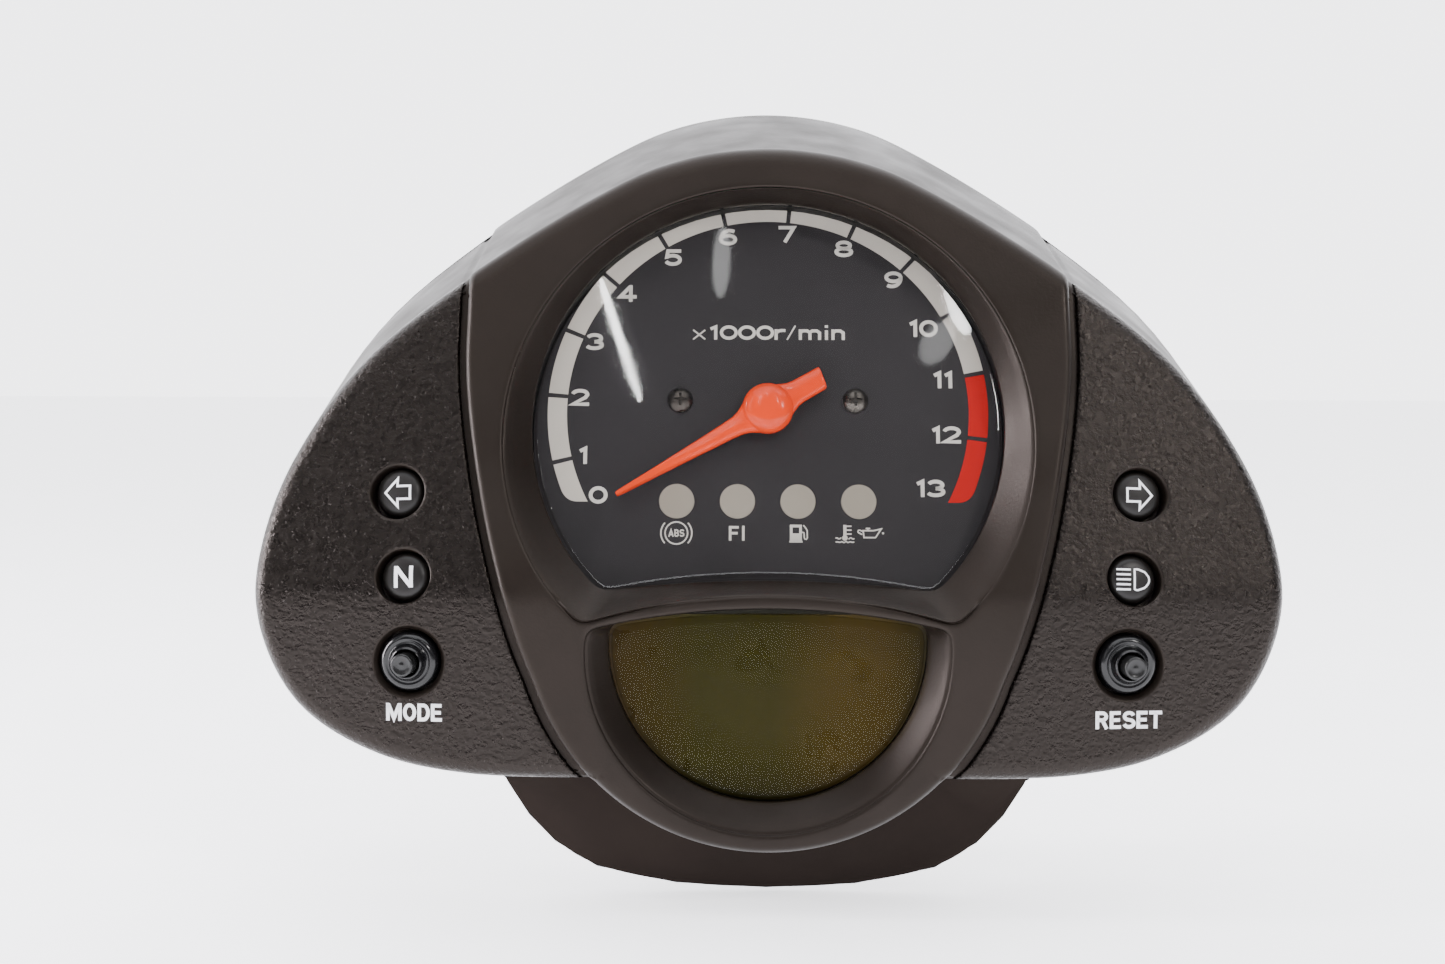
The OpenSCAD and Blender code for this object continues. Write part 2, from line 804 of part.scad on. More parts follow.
module tact(side) {
    color([0.2, 0.2, 0.22]) in_row()
        T()
            translate([side * 79, 0, -9.6]) {
                translate([-3, board_d - 4.2, -3])
                    cube([6, 4.15, 6]);
                ycyl(1.7, board_d - 5.6, board_d - 4.1);
            }
}
module mode_boot() {
    boot(-1);
}
module mode_plunger() {
    plunger(-1);
}
module mode_switch() {
    tact(-1);
}
module reset_boot() {
    boot(1);
}
module reset_plunger() {
    plunger(1);
}
module reset_switch() {
    tact(1);
}
module grommet(i) {
    color([0.05, 0.05, 0.05]) in_row()
        mount_at(i)
            difference() {
                union() {
                    ycyl(cup_in_r - 0.05, cup_floor + 0.1, mount_y);
                    ycyl(cup_out_r - 0.8, cup_top + 0.05, mount_y - 0.1);
                }
                ycyl(collar_body_r + 0.05, mount_y - 30, mount_y + 2);
            }
}
module collar(i) {
    color([0.7, 0.7, 0.7]) in_row()
        mount_at(i)
            difference() {
                union() {
                    ycyl(collar_body_r, mount_y - collar_in, mount_y + 0.5);
                    ycyl(collar_body_r + 3, mount_y, mount_y + collar_out);
                }
                ycyl(collar_r, mount_y - 30, mount_y + 3);
            }
}
module grommet_l() {
    grommet(0);
}
module grommet_r() {
    grommet(1);
}
module grommet_low() {
    grommet(2);
}
module collar_l() {
    collar(0);
}
module collar_r() {
    collar(1);
}
module collar_low() {
    collar(2);
}
module connector_body() {
    color([0.85, 0.84, 0.8]) in_row()
        T()
            translate([conn_x, 0, conn_s])
                difference() {
                    slab(box_pts(conn_w, conn_h), board_d + board_t + 0.1, tub_d + 4);
                    slab(box_pts(conn_w - 1.6, conn_h - 1.6), tub_d - 8, tub_d + 6);
                    slab(box_pts(11.1, 3.1), tub_d - 8.6, tub_d - 7);
                }
}
module connector_pins() {
    color([0.8, 0.65, 0.3]) in_row()
        T()
            translate([conn_x, 0, conn_s]) {
                for (i = [0:7])
                    for (k = [-1, 1])
                        translate([-10.5 + i * 3 - 0.35, tub_d - 8.5, k * 2.2 - 0.35])
                            cube([0.7, 7.5, 0.7]);
                translate([-11, tub_d - 8.45, -3])
                    cube([22, 0.4, 6]);
            }
}
module breather() {
    color([0.75, 0.75, 0.72]) in_row()
        T()
            translate([vent_x, 0, vent_s])
                difference() {
                    union() {
                        ycyl(vent_r, tub_d - 2.6, tub_d + 0.1);
                        ycyl(vent_r + 2, tub_d + 0.1, tub_d + 3);
                    }
                    ycyl(1, tub_d - 4, tub_d + 4);
                }
}
module case_screw(i, side) {
    color([0.65, 0.65, 0.66]) in_row()
        T()
            translate([side * boss_at[i][0], 0, boss_at[i][1]])
                difference() {
                    union() {
                        ycyl(3, plate_d + plate_t + 0.05, plate_d + plate_t + 2.2);
                        ycyl(1.4, plate_d - 14, plate_d + plate_t + 1);
                    }
                    for (a = [0, 90])
                        rotate([0, a, 0])
                            translate([-1.7, plate_d + plate_t + 1, -0.35])
                                cube([3.4, 2, 0.7]);
                }
}
module case_screw_1() {
    case_screw(0, -1);
}
module case_screw_2() {
    case_screw(0, 1);
}
module case_screw_3() {
    case_screw(1, -1);
}
module case_screw_4() {
    case_screw(1, 1);
}
module case_screw_5() {
    case_screw(2, -1);
}
module case_screw_6() {
    case_screw(2, 1);
}

front_cover();
rear_cover();
lower_cover();
tach_lens();
lcd_lens();
tach_seal();
lcd_seal();
dial_plate();
dial_housing();
needle();
needle_cap();
motor_shaft();
rotor_magnet();
motor_case();
coil_bobbin();
coil_inner();
coil_outer();
dial_screw_l();
dial_screw_r();
warn_lens_1();
warn_lens_2();
warn_lens_3();
warn_lens_4();
telltale_turn_l();
telltale_neutral();
telltale_turn_r();
telltale_high_beam();
lcd_panel();
lcd_holder();
lcd_contacts();
pcb();
lamp_array();
light_tube_l();
light_tube_r();
mode_boot();
mode_plunger();
mode_switch();
reset_boot();
reset_plunger();
reset_switch();
mount_cup_l();
mount_cup_r();
mount_cup_low();
grommet_l();
grommet_r();
grommet_low();
collar_l();
collar_r();
collar_low();
connector_body();
connector_pins();
breather();
case_screw_1();
case_screw_2();
case_screw_3();
case_screw_4();
case_screw_5();
case_screw_6();
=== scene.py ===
"""Looks of the motorcycle instrument cluster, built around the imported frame.

Lengths are in millimetres about the middle of the crease across the face (X to the rider's right, Y to the
back, Z up) until row() turns them into metres in the row's frame. "Tilted" coordinates are (x, d, s): d is
the depth behind the upper face and s the distance up along it.
"""
import math

import bmesh
import bpy
import numpy as np
from mathutils import Matrix, Vector
from mathutils.geometry import delaunay_2d_cdt


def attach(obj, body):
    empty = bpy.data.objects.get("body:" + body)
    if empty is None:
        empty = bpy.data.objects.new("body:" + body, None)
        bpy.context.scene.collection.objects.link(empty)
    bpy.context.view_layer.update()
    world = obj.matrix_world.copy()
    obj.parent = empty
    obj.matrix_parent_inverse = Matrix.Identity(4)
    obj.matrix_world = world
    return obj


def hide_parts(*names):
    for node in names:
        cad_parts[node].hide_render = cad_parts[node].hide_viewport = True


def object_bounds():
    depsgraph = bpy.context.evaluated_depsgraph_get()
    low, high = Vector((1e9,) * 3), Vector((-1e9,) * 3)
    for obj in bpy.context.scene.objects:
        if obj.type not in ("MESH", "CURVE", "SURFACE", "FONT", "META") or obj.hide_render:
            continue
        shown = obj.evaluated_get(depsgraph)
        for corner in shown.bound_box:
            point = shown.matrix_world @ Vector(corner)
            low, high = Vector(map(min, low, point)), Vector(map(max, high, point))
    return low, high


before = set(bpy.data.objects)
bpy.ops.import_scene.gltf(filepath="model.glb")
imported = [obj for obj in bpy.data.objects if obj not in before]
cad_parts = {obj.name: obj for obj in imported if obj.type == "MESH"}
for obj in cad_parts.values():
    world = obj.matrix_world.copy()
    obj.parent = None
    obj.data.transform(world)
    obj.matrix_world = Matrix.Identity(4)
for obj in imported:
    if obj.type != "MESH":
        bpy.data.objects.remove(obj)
size_at_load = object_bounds()

# ---------------- driving dimensions, millimetres
MM = 0.001
# where the row's frame has its origin, at the lowest mount
MOUNT_LOW = (0, 60.65, -47)
# lean of the upper face, and turn of each wing away from the panel
TILT = math.radians(16)
SWEEP = math.radians(6)
CT, ST, TT = math.cos(TILT), math.sin(TILT), math.tan(TILT)
TSW = math.tan(SWEEP)
# front cover: wall, step from the panel down to the wings, half width, reach above and below the crease
WALL = 2.6
STEP = 2.0
HALF_W = 114.2
CROWN_H = 100.2
WING_DROP = 40.8
# depth of the parting plane, and how far the top wall rises on its way there, as a share of that way
RIM_D = 44.0
FLARE = 0.29
FLARE_FROM, FLARE_OVER = -2.0, 14.0
# collar below the panel, half of the width it takes in the lower edge, and where the wings begin to turn
RING_R, RING_Z = 54.1, -2.8
RING_HALF = 41.0
FOLD_X = 50.0
# outline above and below the crease, as shares of the half width and of the reach, and the panel's side
UP = [(0, 1), (0.175, 0.973), (0.333, 0.895), (0.577, 0.719), (0.8, 0.515), (0.938, 0.29), (0.998, 0.08)]
LOW = [(0.992, 0.233), (0.918, 0.62), (0.782, 0.865), (0.611, 0.98), (0.35, 1)]
SEAM = [(67.7, 130), (67.7, 70), (67.7, 48.4), (64.9, 27.3), (60.3, 6.8), (53.3, -15.2), (43.7, -33.8),
        (38.6, -40.7)]
# roundings: outline, fold along the crease, turn of the wings, edge of the collar, small lips
EDGE_ROUND, FOLD_ROUND, SWEEP_ROUND, RING_EDGE, LIP_ROUND = 3.2, 2.5, 6.0, 2.4, 0.8
# seam between panel and wings: width and depth of the groove, and the rounding of the panel's edge
SEAM_GAP, GROOVE, RIDGE = 1.9, 1.4, 1.7
# openings in the front, windows at the foot of their slopes, and panes: (centre, radius, half width, arch)
TACH_OPENING = (35.7, 58.9, 41.2, 0.2)
TACH_WINDOW = (40.3, 53.2, 37.4, 4.9)
TACH_PANE = (40.3, 52.6, 36.4, 5.9)
LCD_OPENING = (-12.4, 40.1, 39.8, -2.7)
LCD_WINDOW = (-11, 35.3, 35.05, -3.3)
LCD_PANE = (-11, 34.6, 34.4, -4.4)
TACH_DEPTH, LCD_DEPTH = 7.0, 6.0
# dial: height of the hub, depth of the plate, needle's angle at zero, warning lamps along the bottom
HUB_S = 45.2
DIAL_D = 13.5
ZERO = math.radians(-120.5)
LAMP_S = 24.3
LAMP_X = (-20.6, -6.85, 6.85, 20.6)
# button and telltales on a wing, from the corner of its own frame
BTN_X, BTN_Z = 29.4, -15.2
LAMP_POS = ((32.8, 24.3), (30.8, 5.2))


def row(p):
    """Metres in the row's frame from millimetres about the crease."""
    return (np.asarray(p, float) - MOUNT_LOW) * MM


# ---------------- coordinates and small geometry tools
def tilted(p):
    """Points about the crease from an (n, 3) array of tilted coordinates (x, d, s)."""
    p = np.asarray(p, float)
    return np.stack([p[..., 0], p[..., 1] * CT + p[..., 2] * ST, -p[..., 1] * ST + p[..., 2] * CT], -1)


def wing(side, upper):
    """4x4 of a wing's own frame (X along its face, Y into it, Z up), in millimetres about the crease."""
    turn = Matrix.Rotation(side * SWEEP, 4, "Z")
    if upper:
        return Matrix.Rotation(-TILT, 4, "X") @ Matrix.Translation((side * FOLD_X, STEP * CT, 0)) @ turn
    return Matrix.Translation((side * FOLD_X, STEP, 0)) @ turn


def face_frame(x=0.0, d=0.0, s=0.0, turn=0.0):
    """4x4 of a spot on the tilted face, turned clockwise by an angle as seen by the rider."""
    return Matrix.Rotation(-TILT, 4, "X") @ Matrix.Translation((x, d, s)) @ Matrix.Rotation(turn, 4, "Y")


def moved(points, place):
    """Points of a local frame put through a 4x4."""
    p = np.asarray(points, float)
    m = np.array(place)
    return p @ m[:3, :3].T + m[:3, 3]


def polar(r, a):
    """(x, z) points at distance r from (0, 0) in the directions a, clockwise from up."""
    return np.stack([r * np.sin(a), r * np.cos(a)], 1)


def lifted(flat, y):
    """Points in space from (x, z) points and their depth, one for all or one for each."""
    return np.stack([flat[:, 0], y + 0 * flat[:, 0], flat[:, 1]], 1)


def spline(points, n, closed=False):
    """Catmull-Rom curve through the points, n samples a span."""
    p = np.asarray(points, float)
    m = len(p)
    out = []
    for i in range(m if closed else m - 1):
        if closed:
            a, b, c, d = p[(i - 1) % m], p[i], p[(i + 1) % m], p[(i + 2) % m]
        else:
            a, b, c, d = p[max(i - 1, 0)], p[i], p[i + 1], p[min(i + 2, m - 1)]
        for t in np.arange(n) / n:
            out.append(0.5 * (2 * b + (c - a) * t + (2 * a - 5 * b + 4 * c - d) * t * t
                              + (3 * b - a - 3 * c + d) * t ** 3))
    if not closed:
        out.append(p[-1])
    return np.array(out)


def mirrored(half):
    """A closed outline from its right half, top first."""
    half = np.asarray(half)
    left = half[::-1] * (-1, 1)
    return np.vstack([half, left[left[:, 0] < -0.01]])


def resample(loop, step, closed=True):
    """The same line with even spacing."""
    loop = np.asarray(loop)
    p = np.vstack([loop, loop[:1]]) if closed else loop
    run = np.concatenate([[0], np.cumsum(np.linalg.norm(np.diff(p, axis=0), axis=1))])
    n = max(8, int(round(run[-1] / step)))
    t = np.linspace(0, run[-1], n, endpoint=not closed)
    return np.stack([np.interp(t, run, p[:, k]) for k in range(p.shape[1])], 1)


def soften(loop, rounds):
    """Rounds the corners of a closed, evenly spaced loop."""
    for _ in range(rounds):
        loop = 0.5 * loop + 0.25 * (np.roll(loop, 1, 0) + np.roll(loop, -1, 0))
    return loop


def outward(loop):
    """Unit normals of a clockwise loop, pointing out."""
    t = np.roll(loop, -1, 0) - np.roll(loop, 1, 0)
    t /= np.linalg.norm(t, axis=1)[:, None]
    return np.stack([-t[:, 1], t[:, 0]], 1)


def signed(points, loop):
    """Signed distance of each point to a closed loop, negative inside."""
    a, b = loop, np.roll(loop, -1, 0)
    ab = b - a
    best = np.full(len(points), 1e9)
    inside = np.zeros(len(points), bool)
    for k in range(len(a)):
        ap = points - a[k]
        t = np.clip(ap @ ab[k] / max(ab[k] @ ab[k], 1e-12), 0, 1)
        best = np.minimum(best, np.linalg.norm(ap - t[:, None] * ab[k], axis=1))
        crosses = (a[k, 1] > points[:, 1]) != (b[k, 1] > points[:, 1])
        if crosses.any() and abs(ab[k, 1]) > 1e-12:
            inside ^= crosses & (points[:, 0] < a[k, 0] + (points[:, 1] - a[k, 1]) / ab[k, 1] * ab[k, 0])
    return np.where(inside, -best, best)


def fillet(e, r):
    """Drop of a rounded edge of radius r at distance e from it."""
    e = np.clip(e, 0, r)
    return r - np.sqrt(np.maximum(r * r - (r - e) ** 2, 0))


def soft_max(v, k):
    """Zero for negative v and v for positive v, with the corner rounded over about k."""
    return 0.5 * (v + np.sqrt(v * v + k * k))


def d_window(centre, r, half_x, arch, up):
    """Window outline: most of a circle, closed by an arch through its two corners, corners rounded."""
    a0 = math.asin(half_x / r)
    cz = centre - up * r * math.cos(a0)
    a = np.linspace(math.pi - a0, a0 - math.pi, 120)
    ring = polar(r, a) * (1, up) + (0, centre)
    x = np.linspace(-half_x, half_x, 60)[1:-1]
    chord = np.stack([x, cz + (arch - cz) * (1 - (x / half_x) ** 2)], 1)
    loop = np.vstack([ring, chord])
    if up > 0:
        loop = loop[::-1]
    return soften(resample(loop, 0.7), 12)


def new_mesh(name, verts, faces, mats, mat_of=None, sharp=38):
    """A mesh object in metres from millimetre vertices, with edges over the sharp angle kept sharp."""
    me = bpy.data.meshes.new(name)
    me.from_pydata([tuple(v) for v in row(verts)], [], [tuple(f) for f in faces])
    ob = bpy.data.objects.new(name, me)
    bpy.context.scene.collection.objects.link(ob)
    for m in mats:
        me.materials.append(m)
    if mat_of is not None:
        me.polygons.foreach_set("material_index", np.asarray(mat_of, int))
    bm = bmesh.new()
    bm.from_mesh(me)
    bmesh.ops.remove_doubles(bm, verts=bm.verts, dist=2e-6)
    bmesh.ops.recalc_face_normals(bm, faces=bm.faces)
    for f in bm.faces:
        f.smooth = True
    for e in bm.edges:
        if len(e.link_faces) == 2:
            e.smooth = e.calc_face_angle(0) < math.radians(sharp)
    bm.to_mesh(me)
    bm.free()
    return ob


def strips(rings, closed=True):
    """Vertices and quads between successive rings of the same length."""
    n = len(rings[0])
    verts = np.vstack(rings)
    faces = []
    last = n if closed else n - 1
    for r in range(len(rings) - 1):
        for i in range(last):
            j = (i + 1) % n
            faces.append((r * n + i, r * n + j, (r + 1) * n + j, (r + 1) * n + i))
    return verts, faces


def lathe(profile, place, n=72):
    """A solid of revolution about a local Y axis: profile is (radius, y) and place maps it to the frame."""
    rings = []
    for r, y in profile:
        a = np.arange(n) * 2 * math.pi / n
        pts = np.stack([max(r, 1e-4) * np.cos(a), np.full(n, y), max(r, 1e-4) * np.sin(a)], 1)
        rings.append([tuple(place @ Vector(p)) for p in pts])
    return strips(rings)


def triangles(points):
    """Delaunay triangles over (x, z) points."""
    v, _, f, _, _, _ = delaunay_2d_cdt([Vector(p) for p in points], [], [], 0, 1e-4)
    return np.array([(q.x, q.y) for q in v]), np.array([list(t) for t in f])


def join(parts):
    """One vertex and face list from several."""
    verts, faces = [], []
    base = 0
    for v, f in parts:
        verts.append(np.asarray(v))
        faces += [tuple(i + base for i in q) for q in f]
        base += len(v)
    return np.vstack(verts), faces


# ---------------- materials
WARM = (1.0, 0.86, 0.78, 1)


def material(name, colour, rough, metal=0.0, **inputs):
    """A plain material; further inputs of the shader by name."""
    m = bpy.data.materials.new(name)
    m.use_nodes = True
    for k, v in {"Base Color": (*colour, 1), "Roughness": rough, "Metallic": metal, **inputs}.items():
        surface(m, k.replace("_", " ")).default_value = v
    return m


def surface(m, name):
    """An input of a material's main shader."""
    return m.node_tree.nodes["Principled BSDF"].inputs[name]


def link(m, source, target):
    """Joins an output to an input."""
    m.node_tree.links.new(source, target)


def arithmetic(m, operation, a, b):
    """Output of a calculation on a, a number or an output, and b, an output."""
    node = m.node_tree.nodes.new("ShaderNodeMath")
    node.operation = operation
    if isinstance(a, float):
        node.inputs[0].default_value = a
    else:
        link(m, a, node.inputs[0])
    link(m, b, node.inputs[1])
    return node.outputs[0]


def noise(m, scale, detail=3.0, rough=0.5, kind="ShaderNodeTexNoise"):
    """A texture fixed to the object: noise, unless another kind is asked for."""
    co = m.node_tree.nodes.new("ShaderNodeTexCoord")
    t = m.node_tree.nodes.new(kind)
    t.inputs["Scale"].default_value = scale
    if "Detail" in t.inputs:
        t.inputs["Detail"].default_value = detail
    if "Roughness" in t.inputs:
        t.inputs["Roughness"].default_value = rough
    link(m, co.outputs["Object"], t.inputs["Vector"])
    return t


def ramp(m, source, stops):
    """Colours along a value, from (position, colour) stops."""
    r = m.node_tree.nodes.new("ShaderNodeValToRGB")
    e = r.color_ramp.elements
    while len(e) < len(stops):
        e.new(0.5)
    for i, (pos, col) in enumerate(stops):
        e[i].position = pos
        e[i].color = (*col, 1)
    link(m, source, r.inputs["Fac"])
    return r.outputs["Color"]


def remap(m, source, low, high, to_low, to_high):
    """A value moved from one range to another and held inside it."""
    r = m.node_tree.nodes.new("ShaderNodeMapRange")
    for name, value in (("From Min", low), ("From Max", high), ("To Min", to_low), ("To Max", to_high)):
        r.inputs[name].default_value = value
    link(m, source, r.inputs["Value"])
    return r.outputs["Result"]


def vary(m, scale, low, high):
    """Roughness that drifts between two values with noise."""
    rough = remap(m, noise(m, scale, 4.0).outputs["Fac"], 0.3, 0.7, low, high)
    link(m, rough, surface(m, "Roughness"))


def tint(m, scale, dark, light):
    """Colour that drifts between two shades."""
    colour = ramp(m, noise(m, scale, 5.0).outputs["Fac"], [(0.32, dark), (0.68, light)])
    link(m, colour, surface(m, "Base Color"))


def bump(m, heights, strength, distance):
    """Bump from one or several height outputs, summed."""
    total = heights[0]
    for h in heights[1:]:
        total = arithmetic(m, "ADD", total, h)
    b = m.node_tree.nodes.new("ShaderNodeBump")
    b.inputs["Strength"].default_value = strength
    b.inputs["Distance"].default_value = distance
    link(m, total, b.inputs["Height"])
    link(m, b.outputs["Normal"], surface(m, "Normal"))


def plastic(name, dark, light, rough, grain=900, depth=0.00003, spread=0.08, shine=0.5, warm=False):
    """Moulded plastic with a fine texture and uneven gloss."""
    m = material(name, light, rough, Specular_IOR_Level=shine)
    if warm:
        surface(m, "Specular Tint").default_value = WARM
    tint(m, 25, dark, light)
    vary(m, 60, rough - spread, rough + spread)
    bump(m, [noise(m, grain, 2).outputs["Fac"]], 0.35, depth)
    return m


def leather_grain(name, dark, light, rough):
    """Wing panels: pebbled leather grain moulded into satin plastic, with painted shade darkening the
    creases.
    """
    m = material(name, light, rough, Specular_IOR_Level=0.29, Specular_Tint=WARM)
    cells = noise(m, 1100, kind="ShaderNodeTexVoronoi")
    cells.feature = "SMOOTH_F1"
    cells.inputs["Randomness"].default_value = 1.0
    cells.inputs["Smoothness"].default_value = 0.2
    fold = noise(m, 900, 3, 0.6)
    pebble_height_and_shade = remap(m, cells.outputs["Distance"], 0.05, 0.6, 1.0, 0.0)
    # painted shade: the base colour darkens from the pebbles' tops down into the creases between them
    link(m, ramp(m, pebble_height_and_shade, [(0.15, dark), (0.7, light)]), surface(m, "Base Color"))
    bump(m, [pebble_height_and_shade, fold.outputs["Fac"]], 1.0, 0.00032)
    vary(m, 500, rough - 0.06, rough + 0.1)
    return m


def clear(name, colour, rough, gloss=1.0):
    """Clear lens: see-through, with a gloss reflection on the side that faces out and faint hazing."""
    m = material(name, (0, 0, 0), rough)
    nt = m.node_tree
    mix = nt.nodes.new("ShaderNodeMixShader")
    see = nt.nodes.new("ShaderNodeBsdfTransparent")
    see.inputs["Color"].default_value = (*colour, 1)
    mirror = nt.nodes.new("ShaderNodeBsdfGlossy")
    mirror.inputs["Color"].default_value = (gloss, gloss, gloss, 1)
    fres = nt.nodes.new("ShaderNodeFresnel")
    fres.inputs["IOR"].default_value = 1.45
    geo = nt.nodes.new("ShaderNodeNewGeometry")
    facing = arithmetic(m, "SUBTRACT", 1.0, geo.outputs["Backfacing"])
    amount = arithmetic(m, "MULTIPLY", fres.outputs[0], facing)
    smear = remap(m, noise(m, 180, 4).outputs["Fac"], 0.35, 0.75, rough, rough + 0.015)
    link(m, smear, mirror.inputs["Roughness"])
    for k, source in enumerate((amount, see.outputs[0], mirror.outputs[0])):
        link(m, source, mix.inputs[k])
    nt.nodes.remove(nt.nodes["Principled BSDF"])
    link(m, mix.outputs[0], nt.nodes["Material Output"].inputs["Surface"])
    return m


COVER = plastic("cover_satin", (0.0054, 0.0038, 0.0029), (0.0080, 0.0058, 0.0045), 0.42, 1500, 0.00009,
                shine=0.22, warm=True)
# wings: the first colour is painted shade, laid into the creases of the grain
GRAIN = leather_grain("cover_grain", (0.0013, 0.0009, 0.0008), (0.0072, 0.0054, 0.0043), 0.26)
CHIN_MAT = plastic("chin_satin", (0.0135, 0.0104, 0.0092), (0.0175, 0.0136, 0.0118), 0.5, 1500, 0.00006,
                   shine=0.0)
REAR = plastic("rear_plastic", (0.0055, 0.0052, 0.0050), (0.0095, 0.0092, 0.0090), 0.5, 900, 0.00012,
               shine=0.25)
INNER = plastic("inner_black", (0.004, 0.004, 0.004), (0.007, 0.007, 0.007), 0.6, shine=0.2)
DIAL = plastic("dial_print", (0.0092, 0.0073, 0.0080), (0.0128, 0.0104, 0.0114), 0.5, 1600, 0.00001,
               shine=0.25)
PRINT = plastic("print_white", (0.46, 0.435, 0.39), (0.54, 0.51, 0.46), 0.55, 1600, 0.00001)
BAND = plastic("band_grey", (0.41, 0.375, 0.32), (0.48, 0.44, 0.38), 0.55, 1600, 0.00001)
RED = plastic("band_red", (0.36, 0.0016, 0.0008), (0.42, 0.0028, 0.0014), 0.5, 1600, 0.00001, shine=0.1)
ORANGE = plastic("needle_orange", (0.62, 0.032, 0.0), (0.68, 0.038, 0.0), 0.2, 1200, 0.00001, shine=0.25)
WHITE_INK = plastic("ink_white", (0.78, 0.78, 0.80), (0.88, 0.88, 0.90), 0.5, 1600, 0.00001)
LAMP = plastic("lamp_grey", (0.205, 0.180, 0.140), (0.265, 0.235, 0.190), 0.45, 900, 0.00002, shine=0.3)
SMOKE = plastic("telltale_smoke", (0.0048, 0.0038, 0.0033), (0.0070, 0.0056, 0.0050), 0.42, 1200, 0.00002,
                shine=0.3)
RUBBER = plastic("rubber_black", (0.0020, 0.0020, 0.0024), (0.0036, 0.0036, 0.0042), 0.20, 600, 0.00003,
                 spread=0.06, shine=0.4)
GLOSS = plastic("plunger_gloss", (0.0040, 0.0040, 0.0040), (0.0070, 0.0070, 0.0070), 0.28, 800, 0.00002,
                spread=0.06, shine=0.4)
WHITE = plastic("white_plastic", (0.60, 0.59, 0.55), (0.70, 0.69, 0.65), 0.5)
BOARD = plastic("board_green", (0.010, 0.075, 0.028), (0.018, 0.11, 0.045), 0.35)
LIGHT = plastic("light_guide", (0.55, 0.57, 0.55), (0.68, 0.70, 0.68), 0.15)
NYLON = plastic("nylon", (0.50, 0.46, 0.36), (0.62, 0.58, 0.46), 0.5)


def metal(name, dark, light, rough):
    """Bare or plated metal with uneven gloss and fine marks."""
    m = material(name, light, rough, 1.0)
    tint(m, 40, dark, light)
    vary(m, 300, rough - 0.08, rough + 0.12)
    bump(m, [noise(m, 1500, 2).outputs["Fac"]], 0.2, 0.00002)
    return m


STEEL = metal("zinc_steel", (0.48, 0.48, 0.46), (0.66, 0.66, 0.63), 0.32)
BLACK_STEEL = metal("black_screw", (0.055, 0.048, 0.042), (0.11, 0.10, 0.088), 0.3)
COPPER = metal("copper_wire", (0.55, 0.20, 0.09), (0.72, 0.32, 0.15), 0.35)
BRASS = metal("pin_brass", (0.60, 0.44, 0.18), (0.75, 0.58, 0.28), 0.3)
LENS = clear("lens_clear", (0.97, 0.97, 0.97), 0.03)
LCD_LENS = clear("lens_lcd", (0.9118, 0.8924, 0.776), 0.05, gloss=0.07)


def generated(m):
    """X, Y and Z of the generated coordinates, of a material or of the world."""
    co = m.node_tree.nodes.new("ShaderNodeTexCoord")
    sep = m.node_tree.nodes.new("ShaderNodeSeparateXYZ")
    link(m, co.outputs["Generated"], sep.inputs[0])
    return sep


def display_glass():
    """Unlit display: olive green with brownish bands side by side, and painted shade darkening it along the
    bottom.
    """
    m = material("display_olive", (0.02, 0.016, 0.002), 0.3, Specular_IOR_Level=0.12)
    nt = m.node_tree
    sep = generated(m)
    across = ramp(m, sep.outputs["X"], [
        (0.0, (0.034, 0.018, 0.004)), (0.14, (0.029, 0.019, 0.0035)), (0.30, (0.0215, 0.0205, 0.003)),
        (0.52, (0.0235, 0.0215, 0.0034)), (0.70, (0.042, 0.0285, 0.006)), (0.84, (0.041, 0.0265, 0.006)),
        (1.0, (0.018, 0.0145, 0.004))])
    # painted shade of the bezel: the colour darkens towards the bottom edge, and a little towards the top
    bottom_shade = ramp(m, sep.outputs["Z"], [
        (0.0, (0.55, 0.55, 0.55)), (0.25, (1, 1, 1)), (1.0, (0.85, 0.85, 0.85))])
    mix = nt.nodes.new("ShaderNodeMix")
    mix.data_type = "RGBA"
    mix.blend_type = "MULTIPLY"
    mix.inputs["Factor"].default_value = 1.0
    link(m, across, mix.inputs["A"])
    link(m, bottom_shade, mix.inputs["B"])
    link(m, mix.outputs["Result"], surface(m, "Base Color"))
    vary(m, 90, 0.26, 0.34)
    bump(m, [noise(m, 300, 2).outputs["Fac"]], 0.05, 0.000004)
    return m


LCD = display_glass()
CASE_SCREWS = tuple(f"case_screw_{i}" for i in range(1, 7))
MOUNT_CUPS = ("mount_cup_l", "mount_cup_r", "mount_cup_low")
COLLARS = ("collar_l", "collar_r", "collar_low")
for names, mat in (
        (("rear_cover", *MOUNT_CUPS), REAR),
        (("tach_seal", "lcd_seal", "grommet_l", "grommet_r", "grommet_low"), RUBBER),
        (("dial_housing", "lcd_holder", "mode_switch", "reset_switch", "rotor_magnet"), INNER),
        (("motor_shaft", "motor_case", *COLLARS, *CASE_SCREWS), STEEL),
        (("dial_screw_l", "dial_screw_r"), BLACK_STEEL),
        (("coil_bobbin", "connector_body"), NYLON),
        (("coil_inner", "coil_outer"), COPPER),
        (("lamp_array", "breather"), WHITE),
        (tuple(f"warn_lens_{i}" for i in range(1, 5)), LAMP),
        (("light_tube_l", "light_tube_r"), LIGHT),
        (("lcd_contacts",), RUBBER),
        (("lcd_panel",), LCD),
        (("pcb",), BOARD),
        (("connector_pins",), BRASS),
        (("dial_plate",), DIAL)):
    for name in names:
        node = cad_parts[name]
        node.data.materials.clear()
        node.data.materials.append(mat)

# ---------------- front cover
outline_half = [(x * HALF_W, z * CROWN_H) for x, z in UP] + [(x * HALF_W, -z * WING_DROP) for x, z in LOW]
wing_loop = resample(spline(mirrored(outline_half), 12, closed=True), 1.0)
ring_loop = polar(RING_R, np.linspace(0, 2 * math.pi, 400, endpoint=False)) + (0, RING_Z)
seam_line = spline(SEAM, 10)
panel_half = seam_line[seam_line[:, 1] > -41]


